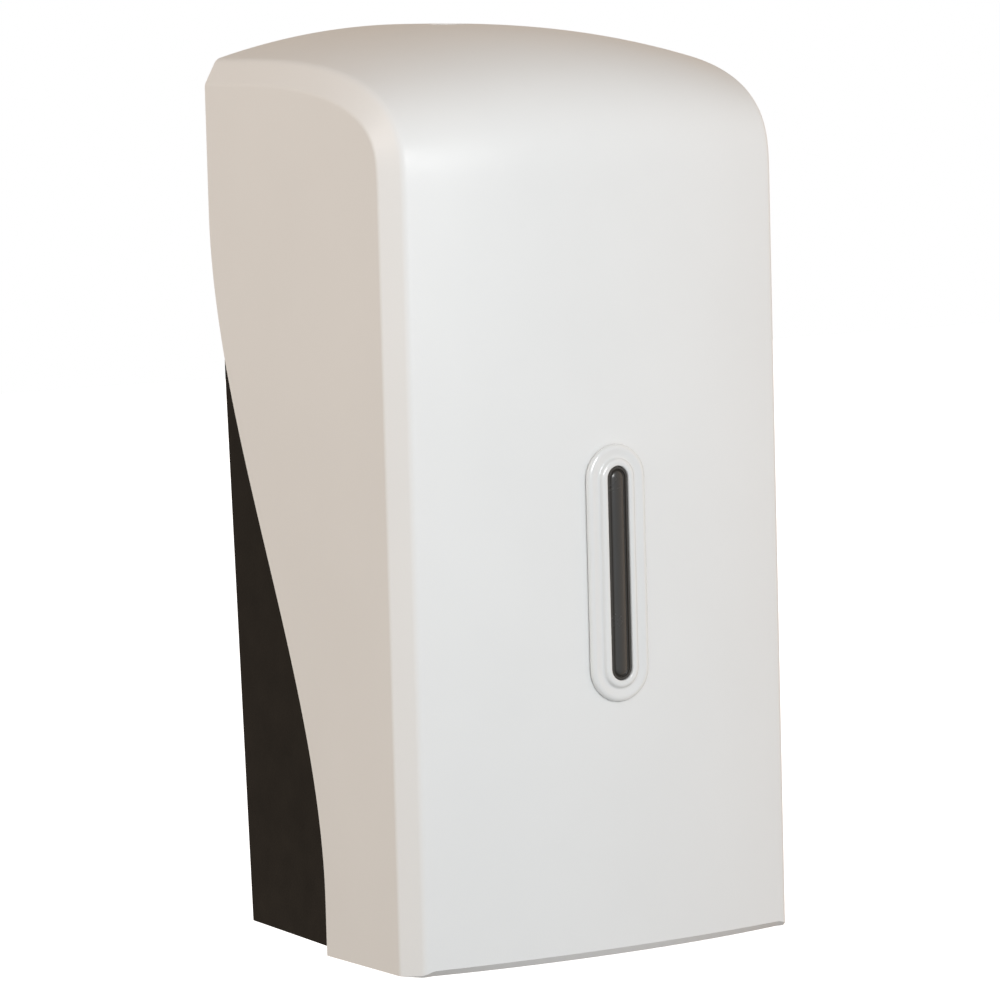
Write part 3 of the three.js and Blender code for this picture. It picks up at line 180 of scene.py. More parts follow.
def loft(name, rings):
    """A solid through rings of equal count, with an n-gon at each end."""
    count = len(rings[0])
    points = [p for ring in rings for p in ring]
    faces = []
    for r in range(len(rings) - 1):
        for i in range(count):
            a, b = r * count + i, r * count + (i + 1) % count
            faces.append((a, b, b + count, a + count))
    faces.append(tuple(range(count)))
    last = (len(rings) - 1) * count
    faces.append(tuple(range(last, last + count)))
    return mesh_object(name, points, faces)


def block(name, low, high):
    x0, y0, z0 = low
    x1, y1, z1 = high
    rings = [[(x0, y0, z), (x1, y0, z), (x1, y1, z), (x0, y1, z)] for z in (z0, z1)]
    return loft(name, rings)


def side_block(name, side, x, y, z):
    """A block from its spans on the three axes, mirrored to the left when side is -1."""
    low, high = sorted(side * value for value in x)
    return block(name, (low, y[0], z[0]), (high, y[1], z[1]))


AXES = {
    "x": lambda u, v, w: (w, u, v),
    "y": lambda u, v, w: (u, w, v),
    "z": lambda u, v, w: (u, v, w),
}


def prism(name, outline, axis, start, end):
    """A flat outline carried along an axis. The outline's points are on the other two axes."""
    return loft(name, [[AXES[axis](u, v, w) for u, v in outline] for w in (start, end)])


def turned(name, profile, axis="z", centre=(0, 0), sides=48):
    """A turned solid. profile is (radius, place along the axis); centre is on the other two axes."""
    to_world = AXES[axis]
    angles = [2 * math.pi * i / sides for i in range(sides)]
    points = []
    faces = []
    starts = []
    for radius, height in profile:
        starts.append((len(points), radius > 1e-6))
        if radius > 1e-6:
            points += [to_world(centre[0] + radius * math.cos(a), centre[1] + radius * math.sin(a), height)
                       for a in angles]
        else:
            points.append(to_world(centre[0], centre[1], height))
    for (first, first_ring), (second, second_ring) in zip(starts, starts[1:]):
        for i in range(sides):
            j = (i + 1) % sides
            if first_ring and second_ring:
                faces.append((first + i, first + j, second + j, second + i))
            elif second_ring:
                faces.append((first, second + j, second + i))
            elif first_ring:
                faces.append((first + i, first + j, second))
    return mesh_object(name, points, faces)


def rod(name, radius, low, high, axis="z", centre=(0, 0), sides=48):
    return turned(name, [(0, low), (radius, low), (radius, high), (0, high)], axis, centre, sides)


def drill(obj, radius, span, places, sides=32):
    """Cuts a round hole through the span along Y at each place in x and z."""
    for place in places:
        cut(obj, rod("hole", radius, *span, "y", place, sides))
    return obj


def ring_profile(inner, outer, low, high, chamfer=0.2):
    c = chamfer
    return [(inner, low + c), (inner + c, low), (outer - c, low), (outer, low + c),
            (outer, high - c), (outer - c, high), (inner + c, high), (inner, high - c), (inner, low + c)]


def rounded_rectangle(half_u, half_v, radius, middle=(0, 0), steps=8):
    points = []
    for sign_u, sign_v, start in ((1, 1, 0), (-1, 1, 90), (-1, -1, 180), (1, -1, 270)):
        for i in range(steps + 1):
            angle = math.radians(start + 90 * i / steps)
            points.append((middle[0] + sign_u * (half_u - radius) + radius * math.cos(angle),
                           middle[1] + sign_v * (half_v - radius) + radius * math.sin(angle)))
    return points


def pill_outline(width, height, count=16):
    """Points round an upright oblong with half-round ends, counter-clockwise, in x and z."""
    radius = width / 2
    straight = height / 2 - radius
    points = []
    for i in range(count + 1):
        angle = math.pi * i / count
        points.append((radius * math.cos(angle), straight + radius * math.sin(angle)))
    for i in range(count + 1):
        angle = math.pi + math.pi * i / count
        points.append((radius * math.cos(angle), -straight + radius * math.sin(angle)))
    return points


# ---------------------------------------------------------------- materials

def to_linear(colour):
    """0 to 255 screen values to linear light."""
    channels = []
    for value in colour:
        share = value / 255
        channels.append(share / 12.92 if share <= 0.04045 else ((share + 0.055) / 1.055) ** 2.4)
    return (*channels, 1)


def node_material(name):
    made = bpy.data.materials.new(name)
    made.use_nodes = True
    tree = made.node_tree
    shader = tree.nodes["Principled BSDF"]
    return made, tree, shader


def link(tree, source, target):
    tree.links.new(source, target)


def noise(tree, scale, detail=2.0, roughness=0.5):
    """Noise over the piece's own coordinates, in cycles per metre."""
    place = tree.nodes.new("ShaderNodeTexCoord")
    texture = tree.nodes.new("ShaderNodeTexNoise")
    texture.inputs["Scale"].default_value = scale
    texture.inputs["Detail"].default_value = detail
    texture.inputs["Roughness"].default_value = roughness
    link(tree, place.outputs["Object"], texture.inputs["Vector"])
    return texture.outputs["Fac"]


def ramp(tree, source, low, high, start=0.3, end=0.7):
    """Maps a grey source to a range of values or colours."""
    if isinstance(low, tuple):
        steps = tree.nodes.new("ShaderNodeValToRGB")
        steps.color_ramp.elements[0].position = start
        steps.color_ramp.elements[1].position = end
        steps.color_ramp.elements[0].color = low
        steps.color_ramp.elements[1].color = high
        link(tree, source, steps.inputs["Fac"])
        return steps.outputs["Color"]
    spread = tree.nodes.new("ShaderNodeMapRange")
    spread.inputs["From Min"].default_value = start
    spread.inputs["From Max"].default_value = end
    spread.inputs["To Min"].default_value = low
    spread.inputs["To Max"].default_value = high
    link(tree, source, spread.inputs["Value"])
    return spread.outputs["Result"]


def bump(tree, shader, source, strength, distance):
    relief = tree.nodes.new("ShaderNodeBump")
    relief.inputs["Strength"].default_value = strength
    relief.inputs["Distance"].default_value = distance
    link(tree, source, relief.inputs["Height"])
    link(tree, relief.outputs["Normal"], shader.inputs["Normal"])


def plastic(name, colour, roughness, grain, grain_depth, spread=0.03, coat=0.0, shine=0.5):
    """Moulded plastic: a slight drift of colour and gloss over the part, and a fine surface grain."""
    made, tree, shader = node_material(name)
    base = to_linear(colour)
    other = tuple(c * (1 - spread) for c in base[:3]) + (1,)
    link(tree, ramp(tree, noise(tree, 22, 3), other, base), shader.inputs["Base Color"])
    shader.inputs["Specular IOR Level"].default_value = shine
    gloss = ramp(tree, noise(tree, 90, 4), roughness - 0.04, roughness + 0.04)
    link(tree, gloss, shader.inputs["Roughness"])
    bump(tree, shader, noise(tree, grain, 3, 0.6), 0.5, grain_depth)
    if coat:
        shader.inputs["Coat Weight"].default_value = coat
        shader.inputs["Coat Roughness"].default_value = 0.12
    return made


def metal(name, colour, roughness):
    """Plated or turned metal with a slight drift of colour and gloss."""
    made, tree, shader = node_material(name)
    base = to_linear(colour)
    darker = tuple(c * 0.94 for c in base[:3]) + (1,)
    shader.inputs["Metallic"].default_value = 1.0
    link(tree, ramp(tree, noise(tree, 40, 2), darker, base), shader.inputs["Base Color"])
    gloss = ramp(tree, noise(tree, 90, 2), roughness - 0.02, roughness + 0.04)
    link(tree, gloss, shader.inputs["Roughness"])
    bump(tree, shader, noise(tree, 900, 1), 0.15, 0.00001)
    return made


def clear(name, colour, roughness, through):
    """Clear or translucent plastic. through is the share of light that passes."""
    made, tree, shader = node_material(name)
    base = to_linear(colour)
    darker = tuple(c * 0.93 for c in base[:3]) + (1,)
    link(tree, ramp(tree, noise(tree, 30, 3), darker, base), shader.inputs["Base Color"])
    gloss = ramp(tree, noise(tree, 120, 3), roughness - 0.03, roughness + 0.03)
    link(tree, gloss, shader.inputs["Roughness"])
    shader.inputs["Transmission Weight"].default_value = through
    shader.inputs["IOR"].default_value = 1.49
    bump(tree, shader, noise(tree, 400, 2), 0.2, 0.00003)
    return made


LOOKS = {
    "white_shell": plastic("white_shell", (236, 235, 232), 0.42, 1900, 0.00004, 0.02),
    "dark_shell": plastic("dark_shell", (28, 25, 22), 0.6, 1500, 0.00012, 0.2, shine=0.12),
    "bezel_white": plastic("bezel_white", (232, 231, 228), 0.2, 500, 0.00001, 0.01, coat=0.6),
    "smoked": plastic("smoked", (60, 56, 51), 0.26, 300, 0.00001, 0.1, coat=0.35),
    "tank_plastic": clear("tank_plastic", (246, 248, 242), 0.4, 0.25),
    "grey_plastic": plastic("grey_plastic", (140, 143, 146), 0.5, 1400, 0.00010, 0.06),
    "blue_plastic": plastic("blue_plastic", (44, 92, 140), 0.38, 1300, 0.00006, 0.08),
    "acetal": plastic("acetal", (238, 232, 216), 0.36, 900, 0.00003, 0.04),
    "steel": metal("steel", (186, 188, 192), 0.3),
    "brass": metal("brass", (196, 158, 84), 0.3),
    "rubber": plastic("rubber", (46, 43, 41), 0.72, 1100, 0.00010, 0.2),
    "silicone": clear("silicone", (232, 234, 228), 0.4, 0.3),
    "board_green": plastic("board_green", (24, 92, 58), 0.3, 600, 0.00002, 0.25, coat=0.4),
    "cell_wrap": plastic("cell_wrap", (48, 58, 70), 0.3, 500, 0.00002, 0.1, coat=0.5),
    "led_green": clear("led_green", (120, 214, 130), 0.15, 0.7),
}


def dress(obj, look):
    """Gives the whole piece one look."""
    obj.data.materials.clear()
    obj.data.materials.append(LOOKS[look])


def adopt(obj, node):
    """The piece stands for this CAD node: it rides with its body and takes its finish."""
    slot = NODE_SLOT[node]
    if not any(obj.data.materials):
        dress(obj, slot)
    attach(obj, NODE_BODY[node])
    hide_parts(node)


def adopt_each(*builders):
    """Builds the pieces whose functions are named after their nodes."""
    for build in builders:
        adopt(build(), build.__name__)


# ---------------------------------------------------------------- cover shell

def crease_path(rear, bottom, steps=36):
    """The line where the crowned band meets the facet: (y, z, outward y, outward z)."""
    start = CREASE_FRONT + CORNER_DEPTH
    base = CREASE_TOP - CORNER_HEIGHT
    path = [(rear, CREASE_TOP, 0.0, 1.0)]
    for i in range(steps + 1):
        t = (i / steps) * math.pi / 2
        forward = math.sin(t) ** (2 / CORNER_POWER)
        upward = max(math.cos(t), 0.0) ** (2 / CORNER_POWER)
        normal = Vector((-(forward ** (CORNER_POWER - 1)) / CORNER_DEPTH,
                         upward ** (CORNER_POWER - 1) / CORNER_HEIGHT)).normalized()
        path.append((start - CORNER_DEPTH * forward, base + CORNER_HEIGHT * upward, *normal))
    path.append((CREASE_FRONT, bottom, -1.0, 0.0))
    return path


def rounded(before, corner, after, radius, steps=5):
    """Points of a soft corner between two straight runs, each point any number of values."""
    before, corner, after = (np.array(p, float) for p in (before, corner, after))
    to_before = (before - corner)[:2]
    to_after = (after - corner)[:2]
    cosine = to_before @ to_after / (np.linalg.norm(to_before) * np.linalg.norm(to_after))
    reach = radius / math.tan(math.acos(np.clip(cosine, -1, 1)) / 2)
    start = corner + (before - corner) * reach / np.linalg.norm(to_before)
    end = corner + (after - corner) * reach / np.linalg.norm(to_after)
    return [tuple((1 - t) ** 2 * start + 2 * t * (1 - t) * corner + t * t * end)
            for t in np.linspace(0, 1, steps + 1)]


def crown_share(x, half=CREASE_X):
    """How much of the crown's height the band has at x: all in the middle, none at the crease."""
    return 1 - (x / half) ** 2


def outer_section(steps=22):
    """Across the band: (x, drop below the crease, share of the crown) from side to side."""
    near = CREASE_X - 3.0
    crease = (CREASE_X, 0.0, 0.0)
    inside = (near, 0.0, crown_share(near))
    edge = (HALF_WIDTH, -float(FACET_DOWN), 0.0)
    below = (HALF_WIDTH, -float(FACET_DOWN) - 4, 0.0)
    right = [(x, 0.0, crown_share(x)) for x in np.linspace(0, near, steps)]
    right += rounded(inside, crease, edge, CREASE_ROUND)
    right += rounded(crease, edge, below, SIDE_ROUND)
    left = [(-x, drop, crown) for x, drop, crown in reversed(right[1:])]
    return left + right


def inner_section(inset, steps=20):
    """The same for the inside of the shell, with sharp corners."""
    tilt = math.hypot(FACET_ACROSS, FACET_DOWN)
    slope = FACET_DOWN / FACET_ACROSS
    crease_x = CREASE_X - inset * 0.7
    facet_x = CREASE_X - inset * FACET_DOWN / tilt
    crease_drop = -inset * FACET_ACROSS / tilt - slope * (crease_x - facet_x)
    side_x = HALF_WIDTH - inset
    side_drop = crease_drop - slope * (side_x - crease_x)
    middle = [(x, crease_drop, crown_share(x, crease_x)) for x in np.linspace(-crease_x, crease_x, steps + 1)]
    return [(-side_x, side_drop, 0.0)] + middle + [(side_x, side_drop, 0.0)]


def cover_block(name, section, rear, bottom, lip=False):
    """The shell's outside or inside as one solid: the section carried along the crease path.

    With lip, the front's bottom edge is undercut, and the undercut fades out at both ends.
    """
    path = crease_path(rear, bottom)
    rings = []
    for x, drop, crown in section:
        ring = []
        for y, z, out_y, out_z in path:
            height = drop + crown * (CROWN_FRONT + (CROWN_TOP - CROWN_FRONT) * out_z)
            ring.append((x, y + out_y * height, z + out_z * height))
        if lip:
            share = min(max((LIP_START - abs(x)) / LIP_RAMP, 0.0), 1.0)
            lip_height = LIP_MIDDLE_HEIGHT + (LIP_EDGE_HEIGHT - LIP_MIDDLE_HEIGHT) * (x / CREASE_X) ** 2
            front_y = ring[-1][1]
            ring[-1] = (x, front_y, bottom + lip_height * share + 0.02)
            ring.append((x, front_y + LIP_DEPTH * share + 0.01, bottom))
        ring.append((x, rear, bottom))
        rings.append(ring)
    return loft(name, rings)


def smoothstep(t):
    t = min(max(t, 0.0), 1.0)
    return t * t * (3 - 2 * t)


def sweep_y(z):
    """Rear edge of the cover's side wall: at the wall above, sweeping forward to the bottom."""
    return COVER_REAR - SWEEP_DEPTH * smoothstep((SWEEP_TOP - z) / SWEEP_HEIGHT)


def side_sweep_cutter():
    below = BOTTOM - BEYOND / 2
    behind = 3 * BEYOND
    edge = [(sweep_y(z), z) for z in np.linspace(SWEEP_TOP, SWEEP_TOP - SWEEP_HEIGHT, 70)]
    edge += [(sweep_y(below), below), (behind, below), (behind, SWEEP_TOP)]
    return prism("sweep", edge, "x", -HALF_WIDTH - BEYOND, HALF_WIDTH + BEYOND)


LUG_IN = 62.6
LUG_OUT = 65.3
LUG_RADIUS = 6.5
LUG_FRONT = -84
LUG_BOTTOM = HINGE_Z - 2
LUG_TOP = HINGE_Z + LUG_RADIUS
LUG_BLOCK_REAR = HINGE_Y - 8


def hinge_arm(side):
    """The arm inside one side wall that reaches back to the hinge pin."""
    outline = [(LUG_FRONT, LUG_BOTTOM)]
    outline += [(HINGE_Y + LUG_RADIUS * math.sin(a), HINGE_Z - LUG_RADIUS * math.cos(a))
                for a in np.linspace(0, math.pi, 20)]
    outline.append((LUG_FRONT, LUG_TOP))
    arm = prism("arm", outline, "x", side * LUG_IN, side * LUG_OUT)
    foot = side_block("foot", side, (LUG_IN, HALF_WIDTH - 1), (LUG_FRONT, LUG_BLOCK_REAR),
                      (LUG_BOTTOM, LUG_TOP))
    hole = rod("hole", PIN_RADIUS + 0.35, side * (LUG_IN - 2), side * (LUG_OUT + 2), "x", HINGE, 32)
    return cut(union(arm, foot), hole)


FRONT_RIB_X = 38
FRONT_RIB_Z = (-100, 78)
SIDE_RIB_Z = (-40, 20, 80)
RIB_HALF = 0.7
RIB_BACK = 14  # from the side wall's rear edge to the end of a side rib


def stiffening_ribs():
    """Low ribs on the inside of the front and of the side walls."""
    ribs = []
    front = CREASE_FRONT - CROWN_FRONT * crown_share(FRONT_RIB_X) + COVER_WALL
    inside = HALF_WIDTH - COVER_WALL
    for side in (-1, 1):
        ribs.append(side_block("rib", side, (FRONT_RIB_X - RIB_HALF, FRONT_RIB_X + RIB_HALF),
                               (front - 1, front + 3), FRONT_RIB_Z))
    for side in (-1, 1):
        for z in SIDE_RIB_Z:
            rear = sweep_y(z) - RIB_BACK
            ribs.append(side_block("rib", side, (inside - 2.5, inside + 1), (CREASE_FRONT + 12, rear),
                                   (z - RIB_HALF, z + RIB_HALF)))
    return ribs


WINDOW_WIDTH = 12.2
WINDOW_HEIGHT = 71.2
LOCK_BOSS_RADIUS = LOCK_RADIUS + 3


def front_cover():
    shell = cover_block("cover_shell", outer_section(), COVER_REAR, BOTTOM, lip=True)
    hollow = cover_block("hollow", inner_section(COVER_WALL), BEYOND, BOTTOM - BEYOND)
    pill = [(x, z + WINDOW_Z) for x, z in pill_outline(WINDOW_WIDTH, WINDOW_HEIGHT)]
    window = prism("window", pill, "y", BEYOND - DEPTH, -BEYOND - DEPTH)
    boss = rod("boss", LOCK_BOSS_RADIUS, CAM_TOP + 0.7, TOP - 1.5, "z", LOCK)
    keyhole = rod("keyhole", LOCK_RADIUS + GAP, CAM_TOP - BEYOND, TOP + BEYOND, "z", LOCK)
    cut(shell, hollow, side_sweep_cutter())
    union(shell, boss, hinge_arm(-1), hinge_arm(1), *stiffening_ribs())
    cut(shell, window, keyhole)
    return soften(shell, 0.4, angle=36, flat=0)


adopt_each(front_cover)


# ---------------------------------------------------------------- level window

BEZEL_REAR = -(DEPTH + GAP)
LENS_FLANGE_FRONT = -118.2
LENS_FLANGE_REAR = -116.6
LENS_FLANGE_WIDTH = 15
LENS_FLANGE_HEIGHT = 74
RETAINER_REAR = -114.6
RETAINER_OUT = 6.2
SLOT_WIDTH = 7.6
SLOT_HEIGHT = 66.6


def pill_rings(rows, count=24):
    """Oblong outlines about the window's centre, one for each (width, height, y)."""
    return [[(x, y, z + WINDOW_Z) for x, z in pill_outline(width, height, count)]
            for width, height, y in rows]


def ring_solid(name, rings):
    """Joins rings one to the next and the last to the first, as a band with a hole through it."""
    count = len(rings[0])
    points = [p for ring in rings for p in ring]
    faces = []
    for r in range(len(rings)):
        s = (r + 1) % len(rings)
        for i in range(count):
            j = (i + 1) % count
            faces.append((r * count + i, r * count + j, s * count + j, s * count + i))
    return mesh_object(name, points, faces)


def window_bezel():
    """Trim round the slot: a flange with a rounded rim, a raised collar, and a stem behind."""
    profile = [
        # distance out from the slot's edge, depth in front of the cover's face
        (0.0, 1.55), (0.1, 1.85), (0.4, 2.05), (1.2, 2.1), (1.75, 2.0), (2.15, 1.7), (2.35, 1.3),
        (2.6, 1.0), (3.0, 0.92), (3.8, 1.02), (4.8, 1.28), (5.3, 1.34), (5.8, 1.28), (6.25, 1.08),
        (6.6, 0.76), (6.85, 0.4), (6.95, 0.0),
    ]
    rows = [(out, BEZEL_REAR - proud) for out, proud in profile]
    stem_out = 1.95
    stem_rear = LENS_FLANGE_FRONT - GAP
    rows += [(stem_out, BEZEL_REAR), (stem_out, stem_rear), (0.0, stem_rear)]
    rings = pill_rings([(SLOT_WIDTH + 2 * out, SLOT_HEIGHT + 2 * min(out, 6.7), y) for out, y in rows])
    return shade(ring_solid("bezel_trim", rings), 50)


def window_lens():
    """Smoked light pipe: a flat shoulder that fills the slot, a groove, and a half-round bead."""
    half = SLOT_WIDTH / 2 - 0.1
    front = BEZEL_REAR - 1.45
    bead = half - 1.35
    bead_rear, bead_height = front + 0.4, 0.75
    profile = [
        # half width, y
        (half, LENS_FLANGE_FRONT), (half, front + 0.15), (half - 0.15, front), (half - 0.75, front),
        (half - 0.95, front + 0.5), (half - 1.1, front + 0.6), (bead, bead_rear),
    ]
    for angle in np.linspace(0, math.pi / 2, 10)[1:-1]:
        profile.append((bead * math.cos(angle), bead_rear - bead_height * math.sin(angle)))
    profile.append((0.06, bead_rear - bead_height))
    rows = [(LENS_FLANGE_WIDTH, LENS_FLANGE_HEIGHT, y) for y in (LENS_FLANGE_REAR, LENS_FLANGE_FRONT)]
    rows += [(2 * w, SLOT_HEIGHT - SLOT_WIDTH + 2 * w, y) for w, y in profile]
    return shade(loft("lens_pipe", pill_rings(rows)), 32)


def lens_retainer():
    """Clip plate behind the lens, with a rolled edge and the slot through it."""
    rear = RETAINER_REAR
    front = LENS_FLANGE_REAR + GAP
    roll = 0.2
    profile = [(roll, front), (0, front + roll), (0, rear - roll), (roll, rear), (RETAINER_OUT - roll, rear),
               (RETAINER_OUT, rear - roll), (RETAINER_OUT, front + roll), (RETAINER_OUT - roll, front)]
    rings = pill_rings([(SLOT_WIDTH + 2 * out, SLOT_HEIGHT + 2 * out, y) for out, y in profile])
    return shade(ring_solid("lens_clip", rings))


adopt_each(window_bezel, window_lens, lens_retainer)

# ---------------------------------------------------------------- lock

PLUG_TOP = TOP - 0.35
KEYWAY_HALF = 3.6
KEYWAY_FLOOR = TOP - 5
SCREW_CLEARANCE = 1.8
CAM_RADIUS = 8.5
CAM_ARM_HALF = 2.5
HOOK_X = (11, 14)
HOOK_BOTTOM = 124


def lock_plug():
    base, top, edge = CAM_TOP + GAP, PLUG_TOP, LOCK_RADIUS
    profile = [(0, base), (edge - 0.2, base), (edge, base + 0.2), (edge, top - 0.5), (edge - 0.5, top),
               (edge - 1.1, top), (edge - 1.3, top - 0.3), (0, top - 0.3)]
    plug = turned("plug", profile, "z", LOCK, 64)
    keyway = block("keyway", (-KEYWAY_HALF, LOCK_Y - 0.8, KEYWAY_FLOOR), (KEYWAY_HALF, LOCK_Y + 0.8, TOP + 1))
    tooth = block("tooth", (0.9, LOCK_Y - 1.6, KEYWAY_FLOOR), (1.9, LOCK_Y + 0.1, TOP + 1))
    screw_hole = rod("hole", SCREW_CLEARANCE, CAM_TOP - 1, KEYWAY_FLOOR - 0.5, "z", LOCK, 24)
    return soften(cut(plug, keyway, tooth, screw_hole), 0.12, 2, flat=0.4)


def lock_cam():
    """Disc, arm and hook. Each is a hair smaller than the last, so no two faces lie in one plane."""
    hair = 0.01
    half = CAM_ARM_HALF
    disc = rod("disc", CAM_RADIUS, CAM_BOTTOM, CAM_TOP, "z", LOCK, 64)
    arm = block("arm", (0, LOCK_Y - half, CAM_BOTTOM + hair), (HOOK_X[1], LOCK_Y + half, CAM_TOP - hair))
    hook = block("hook", (HOOK_X[0], LOCK_Y - half + hair, HOOK_BOTTOM),
                 (HOOK_X[1] - hair, LOCK_Y + half - hair, CAM_TOP - 2 * hair))
    hole = rod("hole", SCREW_CLEARANCE, CAM_BOTTOM - 1, CAM_TOP + 1, "z", LOCK, 24)
    return soften(cut(union(disc, arm, hook), hole), 0.4, flat=0.4)


def screw(name, axis, centre, head, tip, head_radius, shank_radius, head_length):
    """A pan-head screw from the top of its head to its tip, with a cross in the head."""
    inward = 1 if tip > head else -1
    under = head + inward * head_length
    profile = [(0, head), (head_radius * 0.5, head + inward * 0.04),
               (head_radius * 0.85, head + inward * 0.2), (head_radius, head + inward * 0.55),
               (head_radius, under - inward * 0.1), (head_radius - 0.1, under), (shank_radius, under)]
    pitch = 0.7
    turns = int((abs(tip - under) - 1.6) / pitch)
    for k in range(turns):
        start = under + inward * (0.5 + k * pitch)
        profile += [(shank_radius * 0.8, start), (shank_radius, start + inward * pitch * 0.5)]
    profile += [(shank_radius * 0.8, tip - inward * 0.9), (shank_radius * 0.3, tip), (0, tip)]
    body = turned(name, profile, axis, centre, 40)
    to_world = AXES[axis]
    reach = head_radius * 0.62
    deep = head + inward * head_length * 0.75
    slot_half = 0.34
    for half_u, half_v in ((reach, slot_half), (slot_half, reach)):
        ends = [to_world(centre[0] + sign * half_u, centre[1] + sign * half_v, along)
                for sign, along in ((-1, head - inward), (1, deep))]
        low = [min(a, b) for a, b in zip(*ends)]
        high = [max(a, b) for a, b in zip(*ends)]
        cut(body, block("slot", low, high))
    return shade(body, 32)


adopt_each(lock_plug, lock_cam)
cam_screw = screw("cam_screw", "z", LOCK, head=127.8, tip=TOP - 6.2,
                  head_radius=3.2, shank_radius=1.5, head_length=2.2)
adopt(cam_screw, "lock_cam_screw")

# ---------------------------------------------------------------- back plate and hinge pins

PLATE_THICK = 3
PLATE_TOP = 126
PLATE_BOTTOM = BOTTOM + 1.5
PLATE_HALF_TOP = 67.3
PLATE_HALF_BOTTOM = 63.3
PLATE_WIDE_Z = 35
TRAY_WALL = 2.4
TRAY_FRONT = -72
TRAY_HALF_FRONT = HALF_WIDTH - COVER_WALL - 0.5
TRAY_LAP = 10
PLATE_CORNER = 8
PLATE_RIB_HALF = 0.8
PLATE_RIB_X = 20
PLATE_RIB_Z = (100, 20, -60)
PLATE_SUNK = -1  # where parts that stand on the plate start, inside its thickness
SHELF_FRONT = -48
STRIKE_FRONT = -26.5
STRIKE_Z = (119, 122)
TANK_REST = ((30, 34), (-80, PLATE_SUNK), (-75.7, -72.3))
TANK_CLIP = ((50.4, 52.4), (-40, PLATE_SUNK), (30, 60))
NOTCH_X = (60, 72)
SHALLOW_PANELS = ((30, 88), (-48, -6))
WALL_HOLE_RADIUS = 2.5
WALL_HOLES = [(x, z) for x in (-40, 40) for z in (95, -55)]
MODULE_SCREWS = [(x, z) for z in (-84, -131) for x in (-50, 50)]


def plate_half(z):
    t = min(max((z - PLATE_BOTTOM) / (PLATE_WIDE_Z - PLATE_BOTTOM), 0), 1)
    return PLATE_HALF_BOTTOM + (PLATE_HALF_TOP - PLATE_HALF_BOTTOM) * t


def tray_side(side):
    """One side wall: it leans outward from the panel and follows the sweep of the cover's edge."""
    rings = []
    for z in np.linspace(PLATE_BOTTOM, SWEEP_TOP, 60):
        half = plate_half(z)
        front = sweep_y(z) - TRAY_LAP
        reach = half + (TRAY_HALF_FRONT - half) * (front / TRAY_FRONT)
        corners = [(half, 0), (reach, front), (reach - TRAY_WALL, front), (half - TRAY_WALL, 0)]
        rings.append([(side * x, y, z) for x, y in corners])
    return loft("tray_side", rings)


def back_plate():
    """The panel on the wall, with the cover's catch, side walls, ribs, tank rests and screw holes."""
    middle_x, middle_z = PLATE_HALF_TOP - PLATE_CORNER, PLATE_TOP - PLATE_CORNER
    half = [(PLATE_HALF_BOTTOM, PLATE_BOTTOM), (PLATE_HALF_TOP, PLATE_WIDE_Z)]
    half += [(middle_x + PLATE_CORNER * math.cos(a), middle_z + PLATE_CORNER * math.sin(a))
             for a in np.linspace(0, math.pi / 2, 9)]
    plate = prism("plate", half + [(-x, z) for x, z in reversed(half)], "y", 0, -PLATE_THICK)
    shelf = PLATE_HALF_BOTTOM - 1
    catch_low, catch_high = STRIKE_Z
    union(plate, tray_side(-1), tray_side(1),
          block("shelf", (-shelf, SHELF_FRONT, PLATE_BOTTOM + 0.01), (shelf, PLATE_SUNK, PLATE_BOTTOM + 2.2)),
          block("strike", (-4, STRIKE_FRONT, catch_low), (4, PLATE_SUNK, catch_high)),
          block("strike_lip", (-4, STRIKE_FRONT + 0.01, catch_low + 0.01),
                (4, STRIKE_FRONT + 2, catch_high + 7)))
    for side in (-1, 1):
        union(plate, side_block("rest", side, *TANK_REST))
        union(plate, side_block("clip", side, *TANK_CLIP))
        union(plate, side_block("rib", side, (PLATE_RIB_X - PLATE_RIB_HALF, PLATE_RIB_X + PLATE_RIB_HALF),
                                (-8, PLATE_SUNK), (-60, 112)))
        near, far = (side * x for x in NOTCH_X)
        notch = side_block("notch", side, NOTCH_X, (-90, HINGE_Y + 3), (HINGE_Z - 20, HINGE_Z))
        cut(plate, cut(notch, rod("eye", LUG_RADIUS + 0.7, near - side, far + side, "x", HINGE, 64)),
            rod("pin_hole", PIN_RADIUS + 0.25, near, far, "x", HINGE, 40))
    for z in PLATE_RIB_Z:
        union(plate, block("rib", (-46, -7, z - PLATE_RIB_HALF), (46, PLATE_SUNK - 0.01, z + PLATE_RIB_HALF)))
    sink = [(0, -8.5), (5.2, -8.5), (2.4, -5.5), (0, -5.5)]
    for place in WALL_HOLES:
        union(plate, rod("pad", 6.5, -8, PLATE_SUNK, "y", place, 48))
        cut(plate, rod("hole", WALL_HOLE_RADIUS, -9, 1, "y", place, 40), turned("sink", sink, "y", place, 40))
    for place in MODULE_SCREWS:
        cut(plate, rod("hole", SCREW_CLEARANCE, -5, 1, "y", place, 32),
            rod("recess", 4, -1.6, 1, "y", place, 48))
    for low, high in SHALLOW_PANELS:
        plan = rounded_rectangle(56, (high - low) / 2, 6, (0, (high + low) / 2))
        cut(plate, prism("hollow", plan, "y", -0.9, 1))
    return soften(plate, 0.5, smooth=40)


def hinge_pin(side):
    inner, outer = side * (LUG_IN - 0.4), side * (TRAY_HALF_FRONT + 0.2)
    chamfer = 0.4
    profile = [(0, inner), (PIN_RADIUS - chamfer, inner), (PIN_RADIUS, inner + side * chamfer),
               (PIN_RADIUS, outer - side * chamfer), (PIN_RADIUS - chamfer, outer), (0, outer)]
    return shade(turned("pin", profile, "x", HINGE, 48))


adopt_each(back_plate)
for side_name, side in SIDES:
    adopt(hinge_pin(side), f"hinge_pin_{side_name}")

# ---------------------------------------------------------------- reservoir

